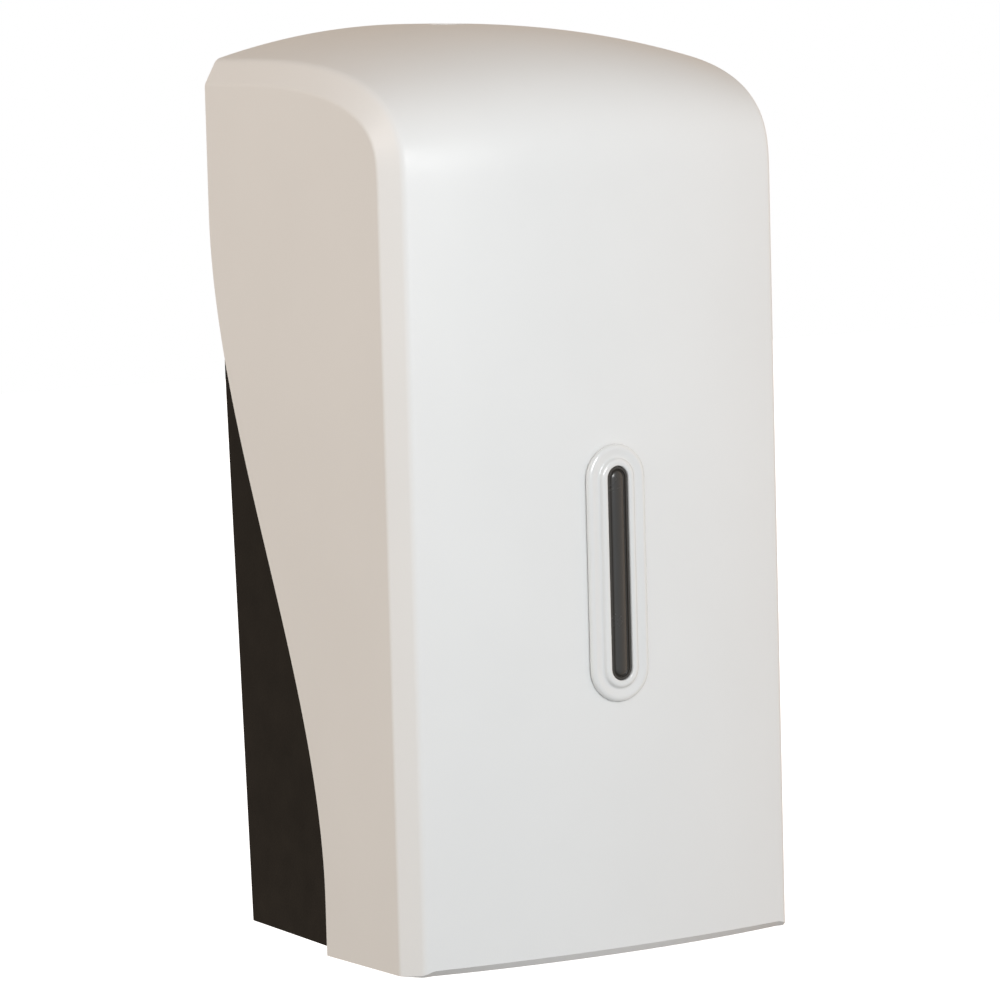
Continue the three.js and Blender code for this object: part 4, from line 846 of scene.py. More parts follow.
TANK_HALF = 50
TANK_REAR = -12
TANK_FRONT = -100
TANK_BOTTOM = -72
TANK_TOP = 104
TANK_WALL = 2
NECK_Y = -72
NECK_RADIUS = 20
NECK_TOP = 112
NECK = (0, NECK_Y)
OUTLET_Y = -84
OUTLET = (0, OUTLET_Y)
TANK_CORNER = 11
LEVEL_MARKS = (-30, -10, 10, 30, 50, 70)
LEVEL_MARK_X = -37
CAP_BOTTOM = 105
CAP_TOP = 118
CAP_RADIUS = 23.4
CAP_LOBES = 18


def tank_block(inset, edge):
    """A rounded box: the plan outline stepped in at the top and bottom edges by a quarter round."""
    middle = (TANK_REAR + TANK_FRONT) / 2
    half_y = (TANK_REAR - TANK_FRONT) / 2 - inset
    half_x = TANK_HALF - inset
    low, high = TANK_BOTTOM + inset, TANK_TOP - inset
    rings = []
    quarter = [math.radians(a) for a in np.linspace(0, 90, 7)]
    levels = [(low + edge * (1 - math.sin(a)), edge * (1 - math.cos(a))) for a in reversed(quarter)]
    levels += [(high - edge * (1 - math.sin(a)), edge * (1 - math.cos(a))) for a in quarter]
    for z, step in levels:
        radius = max(TANK_CORNER - inset - step, 1.5)
        plan = rounded_rectangle(half_x - step, half_y - step, radius, (0, middle))
        rings.append([(x, y, z) for x, y in plan])
    return loft("tank", rings)


def helix_thread(radius, depth, start, pitch, turns, centre, sides=48, height=1.4):
    """A raised thread of pointed section wound up a neck, its ends tapered into the neck."""
    total = int(sides * turns)
    rings = []
    for i in range(total + 1):
        angle = 2 * math.pi * i / sides
        share = min(i, total - i) / (sides / 6)
        crest = radius + depth * min(share, 1.0)
        z = start + pitch * i / sides
        section = [(radius - 0.6, z - height / 2), (crest, z - height / 6), (crest, z + height / 6),
                   (radius - 0.6, z + height / 2)]
        rings.append([(centre[0] + r * math.cos(angle), centre[1] + r * math.sin(angle), h)
                      for r, h in section])
    return loft("thread", rings)


def reservoir_tank():
    tank = tank_block(0, 4)
    union(tank, rod("neck", NECK_RADIUS, TANK_TOP - 3, NECK_TOP, "z", NECK, 96))
    for z in LEVEL_MARKS:
        plan = rounded_rectangle(2.2, 0.6, 0.55, (LEVEL_MARK_X, z), 4)
        cut(tank, prism("groove", plan, "y", TANK_FRONT - 1, TANK_FRONT + 0.4))
    for side in (-1, 1):
        plan = rounded_rectangle(26, 62, 10, (-56, 16))
        cut(tank, prism("panel", plan, "x", side * (TANK_HALF - 0.8), side * (TANK_HALF + 2)))
    cut(tank, tank_block(TANK_WALL, 3),
        rod("mouth", NECK_RADIUS - 2.4, TANK_TOP - 10, NECK_TOP + 5, "z", NECK, 96),
        rod("outlet", 4.2, TANK_BOTTOM - 5, TANK_BOTTOM + 5, "z", OUTLET, 48))
    union(tank, helix_thread(NECK_RADIUS, 0.9, 107.0, 2.4, 1.4, NECK))
    return soften(tank, 0.4, 2, smooth=40)


def filler_cap():
    """Screw cap with scalloped sides, a domed rim and a grip bar across the top."""
    bottom, top = CAP_BOTTOM, CAP_TOP
    sides = CAP_LOBES * 8
    levels = [(bottom, -0.5), (bottom + 0.5, 0), (top - 2.2, 0), (top - 1.2, -0.25), (top - 0.4, -0.9),
              (top, -1.9)]
    rings = []
    for z, step in levels:
        ring = []
        for i in range(sides):
            angle = 2 * math.pi * i / sides
            scallop = 0.9 * max(math.cos(CAP_LOBES * angle), 0) ** 2 * (1 if step > -0.8 else 0.3)
            reach = CAP_RADIUS + step - scallop
            ring.append((reach * math.cos(angle), NECK_Y + reach * math.sin(angle), z))
        rings.append(ring)
    cap = loft("cap", rings)
    dish = turned("dish", [(0, top - 0.8), (17.6, top - 0.8), (18.6, top + 1), (0, top + 1)], "z", NECK, 72)
    room = rod("room", NECK_RADIUS + 1.5, bottom - 1, NECK_TOP + 2.6, "z", NECK, 72)
    cut(cap, dish, room)
    grip = block("grip", (-17, NECK_Y - 2.5, top - 1.5), (17, NECK_Y + 2.5, top + 4))
    return soften(union(cap, grip), 0.5, angle=44, smooth=40)


def add_ring(node, chamfer, axis, inner, sides=64):
    """Adds a turned ring that fills the node's box, with softened edges."""
    low, high = (np.array(corner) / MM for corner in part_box(node))
    along = "xyz".index(axis)
    across = [i for i in range(3) if i != along]
    centre = [(low[i] + high[i]) / 2 for i in across]
    outer = (high[across[0]] - low[across[0]]) / 2
    profile = ring_profile(inner, outer, low[along], high[along], chamfer)
    adopt(shade(turned(node + "_ring", profile, axis, centre, sides)), node)


def outlet_fitting():
    top = TANK_BOTTOM - 1.9
    upper = TANK_BOTTOM + 3
    lower = top - 6.8
    profile = [(0.7, lower), (1.1, lower), (1.25, lower + 0.3), (1.25, lower + 1.6), (1.1, lower + 1.7),
               (1.25, lower + 3.2), (1.25, top - 2.5), (7.7, top - 2.5), (8, top - 2.2), (8, top - 0.3),
               (7.7, top), (3.8, top), (3.8, upper - 0.5), (3.3, upper), (0.7, upper), (0.7, lower)]
    return shade(turned("outlet", profile, "z", OUTLET, 56))


adopt_each(reservoir_tank, filler_cap)
add_ring("filler_cap_seal", 0.5, "z", inner=NECK_RADIUS - 2.2, sides=96)
adopt_each(outlet_fitting)
add_ring("outlet_seal", 0.4, "z", inner=4.2)

# ---------------------------------------------------------------- drive module housings

CASE_HALF = 62
CASE_REAR = -18
CASE_FRONT = -104
CASE_TOP = -76
CASE_BOTTOM = -139
CASE_WALL = 1.6
SENSOR_HALF = 9
SENSOR_Y = (-102.3, -93)
LED = (16, -97)
FLUTE_Y = (-36, -48, -60)
DRAIN_X = (-46, -40, -34, 34, 40, 46)
BOARD_POSTS = [(19, -88), (47, -88), (19, -127), (47, -127)]
BOARD_REAR = -40
BOARD_FRONT = BOARD_REAR - 1.6
GEAR_PLATE_FRONT = -75.5
GEAR_PLATE_REAR = -73


def module_case():
    inner = CASE_HALF - CASE_WALL
    case = block("case", (-CASE_HALF, CASE_FRONT, CASE_BOTTOM), (CASE_HALF, CASE_REAR, CASE_TOP))
    cut(case,
        block("room", (-inner, CASE_FRONT - 1, CASE_BOTTOM + CASE_WALL),
              (inner, CASE_REAR - CASE_WALL, CASE_TOP - CASE_WALL)),
        rod("inlet", 9, CASE_TOP - 5, CASE_TOP + 5, "z", OUTLET, 64),
        rod("nozzle_hole", 4.9, CASE_BOTTOM - 5, CASE_BOTTOM + 5, "z", OUTLET, 48),
        rod("led_hole", 2.4, CASE_BOTTOM - 5, CASE_BOTTOM + 5, "z", LED, 32),
        block("window", (-SENSOR_HALF - GAP, SENSOR_Y[0] - GAP, CASE_BOTTOM - 5),
              (SENSOR_HALF + GAP, SENSOR_Y[1] + GAP, CASE_BOTTOM + 5)))
    guides = ((GEAR_PLATE_FRONT - 3, GEAR_PLATE_FRONT - GAP), (GEAR_PLATE_REAR + GAP, GEAR_PLATE_REAR + 3))
    for side in (-1, 1):
        for depths in guides:
            union(case, side_block("guide", side, (inner - 2.5, inner + 1), depths,
                                   (CASE_BOTTOM + 1, CASE_TOP - 1)))
        for y in FLUTE_Y:
            cut(case, side_block("flute", side, (CASE_HALF - 0.6, CASE_HALF + 1), (y - 3, y + 3),
                                 (CASE_BOTTOM + 8, CASE_TOP - 8)))
    for place in MODULE_SCREWS:
        union(case, rod("boss", 4, CASE_REAR - 1, -PLATE_THICK - GAP, "y", place, 48))
        cut(case, rod("hole", SCREW_CLEARANCE, CASE_REAR + 1.5, 0, "y", place, 32))
    for place in BOARD_POSTS:
        union(case, rod("post", 2.5, BOARD_REAR + GAP, CASE_REAR - 1, "y", place, 32),
              rod("stake", 1, BOARD_REAR - 2.6, BOARD_REAR + 1, "y", place, 24))
    for x in DRAIN_X:
        cut(case, block("drain", (x - 1, -62, CASE_BOTTOM - 1), (x + 1, -34, CASE_BOTTOM + 0.6)))
    profile = ring_profile(4.9, 6.4, CASE_BOTTOM - 0.5, CASE_BOTTOM + 0.6, 0.15)
    collar = turned("collar", profile, "z", OUTLET, 64)
    return soften(union(case, collar), 0.3, 2)


SWITCH_Z = -88
FRONT_REAR = CASE_FRONT - GAP
FRONT_FACE = FRONT_REAR - 2.3
DOOR_X = (29.5, 60)
DOOR_Z = (-135, -80)
DOOR_THICK = 1.8
DOOR_FACE = FRONT_FACE - GAP - DOOR_THICK
HOOKS = (
    # x, z of the hook's tongue, z of the tab that joins it to the panel
    ((14, 24), (CASE_TOP + GAP, CASE_TOP + 1.6), (CASE_TOP - 1, CASE_TOP + 1.6)),
    ((24, 34), (CASE_BOTTOM - 1.6, CASE_BOTTOM - GAP), (CASE_BOTTOM - 1.6, CASE_BOTTOM + 1)),
)


def module_front():
    panel = block("panel", (-CASE_HALF, FRONT_FACE, CASE_BOTTOM), (CASE_HALF, FRONT_REAR, CASE_TOP))
    cut(panel, block("switch_slot", (-4.4, -120, SWITCH_Z - 3), (4.4, -90, SWITCH_Z + 3)),
        block("switch_sink", (-7, FRONT_FACE - 1, SWITCH_Z - 5), (7, FRONT_FACE + 0.5, SWITCH_Z + 5)))
    for side in (-1, 1):
        cut(panel, side_block("bay", side, (DOOR_X[0] + 2, DOOR_X[1] - 2), (-120, -90),
                              (DOOR_Z[0] + 4, DOOR_Z[1] - 4)))
        for (near, far), tongue, tab in HOOKS:
            union(panel, side_block("hook", side, (near, far), (FRONT_FACE + 0.01, -94), tongue),
                  side_block("tab", side, (near + 0.01, far - 0.01), (FRONT_FACE + 0.02, FRONT_REAR), tab))
    middle = (0, -115)
    groove = prism("groove", rounded_rectangle(23, 20, 3, middle), "y", FRONT_FACE - 1, FRONT_FACE + 0.5)
    island = prism("island", rounded_rectangle(22.2, 19.2, 2.4, middle), "y", FRONT_FACE - 2, FRONT_FACE + 1)
    cut(panel, cut(groove, island))
    return soften(panel, 0.35, 2)


def battery_door(side):
    """Sliding door with a row of grip ribs and a raised arrow that points the way it slides."""
    door = side_block("door", side, DOOR_X, (DOOR_FACE, DOOR_FACE + DOOR_THICK), DOOR_Z)
    middle = side * sum(DOOR_X) / 2
    for i in range(4):
        plan = rounded_rectangle(7.5, 0.6, 0.5, (middle, DOOR_Z[0] + 8.6 + i * 3), 4)
        union(door, prism("rib", plan, "y", DOOR_FACE - 0.7, DOOR_FACE + 0.5))
    tip = DOOR_Z[1] - 8
    neck, foot = tip - 5.2, tip - 10
    arrow = [(0, tip), (4.4, neck), (1.7, neck), (1.7, foot), (-1.7, foot), (-1.7, neck), (-4.4, neck)]
    union(door, prism("arrow", [(middle + x, z) for x, z in arrow], "y", DOOR_FACE - 0.35, DOOR_FACE + 0.5))
    return soften(door, 0.2, 2)


def power_switch():
    rest = -1.5

    def bar(name, half_x, front, rear, half_z):
        return block(name, (rest - half_x, front, SWITCH_Z - half_z),
                     (rest + half_x, rear, SWITCH_Z + half_z))

    stem = bar("stem", 2.5, FRONT_FACE - 1, FRONT_REAR + 1, 2.6)
    foot = bar("foot", 5.5, FRONT_REAR + 0.4, FRONT_REAR + 1.8, 5)
    knob = bar("knob", 4, FRONT_FACE - 2.4, FRONT_FACE - 0.4, 3.6)
    for offset in (-2, 0, 2):
        x = rest + offset
        cut(knob, block("groove", (x - 0.4, -115, SWITCH_Z - 5), (x + 0.4, FRONT_FACE - 1.8, SWITCH_Z + 5)))
    return soften(union(stem, foot, knob), 0.25)


adopt_each(module_case, module_front, power_switch)
for side_name, side in SIDES:
    adopt(battery_door(side), f"battery_door_{side_name}")
for number, place in enumerate(MODULE_SCREWS, 1):
    module_screw = screw("module_screw", "y", place, head=-0.2, tip=-15,
                         head_radius=3.5, shank_radius=1.5, head_length=1.1)
    adopt(module_screw, f"module_screw_{number}")

# ---------------------------------------------------------------- gear train

PRESSURE_ANGLE = math.radians(20)
TOOTH_OVER_PITCH = 0.9
TOOTH_UNDER_PITCH = 1.2
PINION_TEETH = 10
IDLER_TEETH = 30
DRIVE_TEETH = 36
ROTOR = (8, -105)
IDLER_Z = -98
IDLER_TO_ROTOR = (PINION_TEETH + DRIVE_TEETH) / 2
MOTOR_TO_IDLER = (PINION_TEETH + IDLER_TEETH) / 2
IDLER = (ROTOR[0] - math.sqrt(IDLER_TO_ROTOR ** 2 - (IDLER_Z - ROTOR[1]) ** 2), IDLER_Z)
MOTOR = (IDLER[0] - MOTOR_TO_IDLER, IDLER_Z)
TO_DRIVE = math.atan2(ROTOR[1] - IDLER[1], ROTOR[0] - IDLER[0])
PLANE_A = (-60, -55.2)
PLANE_B = (-68, -63)
THROUGH_GEARS = (-80, -50)
THROUGH_PUMP = (-100, -70)
THROUGH_LID = (-100, -90)
THROUGH_BOARD = (-50, -30)
PUMP_SCREWS = [(-10, -86.5), (26, -86.5), (-10, -123.5), (26, -123.5)]
FRAME_POSTS = [(-47, -125), (-47, -85), (31, -83), (31, -127)]


def arc(centre, radius, start, end, count):
    """Points on a circle from start to end, in degrees."""
    return [(centre[0] + radius * math.cos(a), centre[1] + radius * math.sin(a))
            for a in np.linspace(math.radians(start), math.radians(end), count)]


def gear_outline(teeth, first_tooth, shrink=0.0):
    """Involute teeth of 1 mm module, with a little backlash."""
    pitch_radius = teeth / 2
    base = pitch_radius * math.cos(PRESSURE_ANGLE)
    root = pitch_radius - TOOTH_UNDER_PITCH - shrink
    tip = pitch_radius + TOOTH_OVER_PITCH - shrink
    half_tooth = math.pi / (2 * teeth) - 0.05 / pitch_radius

    def involute(radius):
        cosine = min(base / radius, 1.0)
        angle = math.acos(cosine)
        return math.tan(angle) - angle

    at_pitch = involute(pitch_radius)
    start = max(root + 0.25, base)
    flank = []
    for radius in np.linspace(start, tip, 6):
        flank.append((radius, half_tooth + at_pitch - involute(radius) - shrink / pitch_radius))
    foot = (root, flank[0][1] + 0.1 / pitch_radius)
    points = []
    for i in range(teeth):
        middle = first_tooth + 2 * math.pi * i / teeth
        side = [foot] + flank
        for radius, offset in side:
            points.append((radius, middle - offset))
        for radius, offset in reversed(side):
            points.append((radius, middle + offset))
    return [(radius * math.cos(angle), radius * math.sin(angle)) for radius, angle in points]


def gear(teeth, first_tooth, front, rear, centre):
    rings = []
    edge = 0.15
    for y, shrink in ((front, edge), (front + edge, 0), (rear - edge, 0), (rear, edge)):
        rings.append([(centre[0] + x, y, centre[1] + z) for x, z in gear_outline(teeth, first_tooth, shrink)])
    return loft("gear", rings)


def motor_pinion():
    pinion = gear(PINION_TEETH, 0, *PLANE_A, MOTOR)
    return shade(cut(pinion, rod("bore", 1.3, *THROUGH_GEARS, "y", MOTOR, 40)), 30)


def idler_gear():
    wheel = gear(IDLER_TEETH, math.pi + math.pi / IDLER_TEETH, PLANE_A[0] + GAP, PLANE_A[1] - GAP, IDLER)
    for front, rear in ((PLANE_A[0] - 1, PLANE_A[0] + GAP + 1), (PLANE_A[1] - GAP - 1, PLANE_A[1] + 1)):
        cut(wheel, turned("web", ring_profile(6.2, 12.2, front, rear, 0.01), "y", IDLER, 64))
    pinion = gear(PINION_TEETH, TO_DRIVE, PLANE_B[0], PLANE_A[0] + 1, IDLER)
    hub = rod("hub", 3.6, GEAR_PLATE_REAR + 0.8, PLANE_B[0] + 1, "y", IDLER, 48)
    return shade(cut(union(wheel, pinion, hub), rod("bore", 1.8, *THROUGH_GEARS, "y", IDLER, 40)), 30)


def drive_gear():
    front, rear = PLANE_B[0] + 0.2, PLANE_B[1] - 0.2
    wheel = gear(DRIVE_TEETH, TO_DRIVE + math.pi + math.pi / DRIVE_TEETH, front, rear, ROTOR)
    for low, high in ((front - 1, front + 0.9), (rear - 0.9, rear + 1)):
        cut(wheel, turned("web", ring_profile(6.6, 15.2, low, high, 0.01), "y", ROTOR, 72))
    union(wheel, rod("hub", 6, PLANE_B[1] - 1, PLANE_B[1] + 3, "y", ROTOR, 56))
    cut(wheel, rod("bore", 3.4, *THROUGH_GEARS, "y", ROTOR, 48))
    return shade(drill(wheel, 3, THROUGH_GEARS, arc(ROTOR, 11, 0, 300, 6), 40), 30)


def motor_can():
    """Small brushed motor: a drawn can with rolled edges, cooling slots and a bearing boss."""
    profile = [(1.4, -52.2), (3.2, -52.2), (3.4, -52.0), (10.8, -52.0), (11.6, -51.7), (12, -51.0),
               (12, -26.2), (11.7, -25.9), (11.7, -25.3), (12, -25.0), (12, -22.8), (11.4, -22.2),
               (3.2, -22.0), (3, -21.7), (3, -20.3), (2.7, -20), (0, -20), (0, -46), (1.4, -46), (1.4, -52.2)]
    can = turned("can", profile, "y", MOTOR, 72)
    for angle in (math.radians(40), math.radians(140)):
        x, z = MOTOR[0] + 11.6 * math.cos(angle), MOTOR[1] + 11.6 * math.sin(angle)
        cut(can, block("slot", (x - 0.9, -44, z - 2.4), (x + 0.9, -34, z + 2.4)))
    return shade(can, 32)


def pierced_plate(name, low, high, holes, posts=()):
    """A stamped steel plate with round holes through Y, and spacer posts on its front."""
    plate = block(name, low, high)
    for centre, front, rear in posts:
        union(plate, rod("post", 2.6, front, rear, "y", centre, 40))
    for centre, radius in holes:
        cut(plate, rod("hole", radius, low[1] - 1, high[1] + 1, "y", centre, 48))
    return soften(plate, 0.25, 2)


def gear_plate():
    half = CASE_HALF - CASE_WALL - GAP
    holes = [(ROTOR, 4.6), (IDLER, 1.8)] + [(place, 1.6) for place in PUMP_SCREWS]
    return pierced_plate("gear_plate", (-half, GEAR_PLATE_FRONT, CASE_BOTTOM + 2),
                         (half, GEAR_PLATE_REAR, CASE_TOP - 2), holes)


def motor_frame():
    posts = [(place, GEAR_PLATE_REAR + GAP, -53.5) for place in FRAME_POSTS]
    holes = [(MOTOR, 2), (IDLER, 1.8), (ROTOR, 5.2)]
    return pierced_plate("motor_frame", (-50, -54.5, -130), (34, -52.5, -80), holes, posts)


def add_axle(node, radius, centre):
    """Adds a ground pin with chamfered ends that fills the node's length."""
    front, rear = (corner[1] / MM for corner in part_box(node))
    profile = [(0, front), (radius - 0.25, front), (radius, front + 0.25), (radius, rear - 0.25),
               (radius - 0.25, rear), (0, rear)]
    adopt(shade(turned(node + "_axle", profile, "y", centre, 40)), node)


adopt_each(motor_can)
add_axle("motor_shaft", 1, MOTOR)
adopt_each(motor_pinion, idler_gear)
add_axle("idler_pin", 1.45, IDLER)
adopt_each(drive_gear, gear_plate, motor_frame)

# ---------------------------------------------------------------- peristaltic pump

TUBE_RADIUS = 3
TUBE_BORE = 1.6
ROLLER_ORBIT = 9
ROLLER_RADIUS = 3.5
TUBE_ARC = ROLLER_ORBIT + ROLLER_RADIUS + TUBE_RADIUS + GAP
TUBE_BEND = ROTOR[0]
RACE_RADIUS = TUBE_ARC + TUBE_RADIUS + GAP
PUMP_FRONT = -92.5
PUMP_LOW = (-12.6, -126.2)
PUMP_HIGH = (ROTOR[0] + RACE_RADIUS + 1.4, -83.8)
PUMP_SCREW_HOLE = 1.6
DISC_RADIUS = 12.2
DISCS = ((-91.6, -90), (-79, -77))


def pump_rotor():
    """Shaft, nose, two discs and the three pins that carry the rollers."""
    rotor = rod("shaft", 3.1, -90.5, -53, "y", ROTOR, 56)
    union(rotor, rod("nose", 2.6, -94.6, -91, "y", ROTOR, 48))
    chamfer = 0.3
    for front, rear in DISCS:
        profile = [(0, front), (DISC_RADIUS - chamfer, front), (DISC_RADIUS, front + chamfer),
                   (DISC_RADIUS, rear - chamfer), (DISC_RADIUS - chamfer, rear), (0, rear)]
        union(rotor, turned("disc", profile, "y", ROTOR, 80))
    for place in arc(ROTOR, ROLLER_ORBIT, 90, 330, 3):
        union(rotor, rod("pin", 1.2, -90.5, -78.5, "y", place, 32))
    return shade(rotor, 35)


def tube_path():
    """Centre line of the tube in x and z: down, half way round the rotor, and down again."""
    upper = ROTOR[1] + TUBE_ARC + TUBE_BEND
    lower = ROTOR[1] - TUBE_ARC - TUBE_BEND
    path = [(0, TANK_BOTTOM - 4.7)]
    path += arc((TUBE_BEND, upper), TUBE_BEND, 180, 270, 10)
    path += arc(ROTOR, TUBE_ARC, 90, -90, 40)[1:]
    path += arc((TUBE_BEND, lower), TUBE_BEND, 90, 180, 10)[1:]
    return path + [(0, CASE_BOTTOM + 4.1)]


def swept(name, path, radius, sides=28, spare=0.0):
    """A round bar along a path in x and z at the pump's depth, made longer by spare at each end."""
    path = [(path[0][0], path[0][1] + spare)] + path[1:-1] + [(path[-1][0], path[-1][1] - spare)]
    rings = []
    for i, (x, z) in enumerate(path):
        before, after = path[max(i - 1, 0)], path[min(i + 1, len(path) - 1)]
        along = Vector((after[0] - before[0], after[1] - before[1])).normalized()
        ring_points = []
        for k in range(sides):
            angle = 2 * math.pi * k / sides
            across = radius * math.cos(angle)
            ring_points.append((x + along.y * across, OUTLET_Y + radius * math.sin(angle),
                                z - along.x * across))
        rings.append(ring_points)
    return loft(name, rings)


def pump_housing():
    body = block("housing", (PUMP_LOW[0], PUMP_FRONT, PUMP_LOW[1]),
                 (PUMP_HIGH[0], GEAR_PLATE_FRONT - GAP, PUMP_HIGH[1]))
    cut(body, rod("race", RACE_RADIUS, *THROUGH_PUMP, "y", ROTOR, 120),
        swept("channel", tube_path(), TUBE_RADIUS + 0.5, spare=6))
    return soften(drill(body, PUMP_SCREW_HOLE, THROUGH_PUMP, PUMP_SCREWS), 0.3, 2, angle=42)


def pump_cover():
    front = PUMP_FRONT - GAP - 2
    plate = block("lid", (PUMP_LOW[0], front, PUMP_LOW[1]), (PUMP_HIGH[0], PUMP_FRONT - GAP, PUMP_HIGH[1]))
    cut(plate, rod("bearing", 5, *THROUGH_LID, "y", ROTOR, 64))
    drill(plate, PUMP_SCREW_HOLE, THROUGH_LID, PUMP_SCREWS)
    for radius in (10, 14):
        profile = ring_profile(radius, radius + 1.2, front - 1, front + 0.4, 0.01)
        cut(plate, turned("ring", profile, "y", ROTOR, 80))
    return soften(plate, 0.3, 2, angle=42)


def pump_tube():
    tube = swept("tube", tube_path(), TUBE_RADIUS)
    bore = swept("bore", tube_path(), TUBE_BORE, sides=20, spare=2)
    return shade(cut(tube, bore), 50)


adopt_each(pump_rotor)
for number in (1, 2, 3):
    add_ring(f"roller_{number}", 0.4, "y", inner=1.5)
add_ring("rotor_bush_front", 0.2, "y", inner=2.95)
add_ring("rotor_bush_rear", 0.2, "y", inner=3.4)
adopt_each(pump_housing, pump_cover, pump_tube)
for number, place in enumerate(PUMP_SCREWS, 1):
    pump_screw = screw("pump_screw", "y", place, head=-96.9, tip=-74,
                       head_radius=2.5, shank_radius=1.3, head_length=1.8)
    adopt(pump_screw, f"pump_screw_{number}")

# ---------------------------------------------------------------- nozzle, sensor, lamp and board

def nozzle():
    """The spout with its soft tip, flange and hose spigot, bored through."""
    seat = CASE_BOTTOM + CASE_WALL + GAP
    tip = BOTTOM + 0.6
    profile = [(0.7, tip + 0.8), (1.4, tip + 0.1), (2.1, tip), (2.4, tip + 0.2), (3.1, tip + 2.0),
               (3.4, tip + 2.6), (4.3, tip + 3.3), (4.5, tip + 3.7), (4.5, seat), (6.8, seat),
               (7, seat + 0.3), (7, seat + 1.2), (6.8, seat + 1.5), (1.25, seat + 1.5), (1.25, seat + 5.8),
               (1.05, seat + 6), (0.7, seat + 6), (0.7, tip + 0.8)]
    return shade(turned("nozzle_body", profile, "z", OUTLET, 64), 45)


def sensor_window():
    inner = CASE_BOTTOM + CASE_WALL + GAP
    middle = (0, sum(SENSOR_Y) / 2)
    half_y = (SENSOR_Y[1] - SENSOR_Y[0]) / 2
    rings = []
    levels = [(CASE_BOTTOM - 0.4, 0.5), (CASE_BOTTOM - 0.3, 0.2), (CASE_BOTTOM, 0), (inner, 0), (inner, -1),
              (inner + 1.5, -1), (inner + 1.5, 0), (CASE_BOTTOM + 4, 0)]
    for z, step in levels:
        plan = rounded_rectangle(SENSOR_HALF - step - 0.02, half_y - step, 0.9, middle, 5)
        rings.append([(x, y, z) for x, y in plan])
    window = loft("sensor", rings)
    for x in (-4.2, 4.2):
        cut(window, rod("eye", 2.6, CASE_BOTTOM - 1, CASE_BOTTOM - 0.2, "z", (x, middle[1]), 48))
    return shade(window, 32)


def status_led():
    base = CASE_BOTTOM + 1.9
    dome = [(2 * math.cos(a), CASE_BOTTOM - 1.2 * math.sin(a)) for a in np.linspace(math.pi / 2, 0, 9)]
    flange = [(2, base), (2.6, base), (2.8, base + 0.2), (2.8, base + 2.1), (0, base + 2.1)]
    profile = [(0, dome[0][1])] + dome[1:] + flange
    return shade(turned("lamp", profile, "z", LED, 40), 45)


def paint_faces(obj, look, chosen):
    """Gives the look to the faces whose middle, in millimetres, passes the test."""
    obj.data.materials.append(LOOKS[look])
    slot_index = len(obj.data.materials) - 1
    for face in obj.data.polygons:
        if chosen(face.center / MM):
            face.material_index = slot_index


CAPACITOR = (42, -98)
CHIP_PARTS = ((18.5, -100), (18.5, -104), (18.5, -108), (40, -106), (44, -106), (29, -120), (33, -120))


def is_metal_on_board(at):
    """Whether a place on the board's parts is a chip leg, a header pin or the capacitor's can."""
    leg = (22 < at.x < 36 and not 24.1 < at.x < 33.9 and -112.5 < at.z < -101.5
           and at.y > BOARD_REAR - 2.2)
    pin = -92 < at.z < -90 and at.y < BOARD_REAR - 7.95
    can = math.hypot(at.x - CAPACITOR[0], at.z - CAPACITOR[1]) < 3.4 and at.y < -50.9
    return leg or pin or can


def circuit_board():
    """The board with a chip, a relay, a header, a capacitor and small parts, all one solid."""
    board = block("board", (15, BOARD_FRONT, -131), (51, BOARD_REAR, -84))
    front = BOARD_FRONT + 0.5
    can = [(0, BOARD_REAR - 11), (2.6, BOARD_REAR - 11), (3.2, BOARD_REAR - 10.5), (3.2, BOARD_REAR - 3.2),
           (2.9, BOARD_REAR - 2.9), (3.2, BOARD_REAR - 2.6), (3.2, front), (0, front)]
    union(board, block("chip", (24, BOARD_REAR - 3.2, -112), (34, front, -102)),
          block("relay", (38, BOARD_REAR - 7, -122), (45, front, -112)),
          block("header", (24, BOARD_REAR - 8, -94), (36, front, -88)),
          turned("capacitor", can, "y", CAPACITOR, 40))
    for z in (-111, -109, -107, -105, -103):
        union(board, block("leg", (22.6, BOARD_FRONT - 0.5, z - 0.25), (35.4, front, z + 0.25)))
    for x, z in CHIP_PARTS:
        union(board, block("chip_part", (x - 1.1, BOARD_FRONT - 0.8, z - 0.6), (x + 1.1, front, z + 0.6)))
    for x in (26, 28.7, 31.4, 34.1):
        union(board, block("pin", (x - 0.4, BOARD_REAR - 8.4, -91.4), (x + 0.4, front, -90.6)))
    drill(board, 1.35, THROUGH_BOARD, BOARD_POSTS)
    soften(board, 0.12, 1, angle=50)
    dress(board, "board_green")
    proud = BOARD_FRONT - 0.15
    paint_faces(board, "rubber", lambda at: at.y < proud)
    paint_faces(board, "steel", lambda at: at.y < proud and is_metal_on_board(at))
    return board


adopt_each(nozzle, sensor_window, status_led, circuit_board)

# ---------------------------------------------------------------- batteries

CELL_RADIUS = 7.1
CELL_LENGTH = 50.5
CELL_X = (37.35, 51.75)
CELL_Y = -95.5
CELL_BOTTOM = -131.3
TRAY_X = (29, 60.1)
TRAY_Y = (-103.9, -86)
TRAY_Z = (CASE_BOTTOM + CASE_WALL + GAP, CASE_TOP - CASE_WALL - GAP)
TRAY_SKIN = 1.1
CONTACT_THICK = 0.6
CONTACT_X = (30.6, 58.5)
CONTACT_Y = (-101, -90)


def battery_tray(side):
    tray = side_block("tray", side, TRAY_X, TRAY_Y, TRAY_Z)
    room = side_block("room", side, (TRAY_X[0] + TRAY_SKIN, TRAY_X[1] - TRAY_SKIN),
                      (TRAY_Y[0] - 1, TRAY_Y[1] - TRAY_SKIN), (TRAY_Z[0] + TRAY_SKIN, TRAY_Z[1] - TRAY_SKIN))
    return soften(cut(tray, room), 0.25, 2)


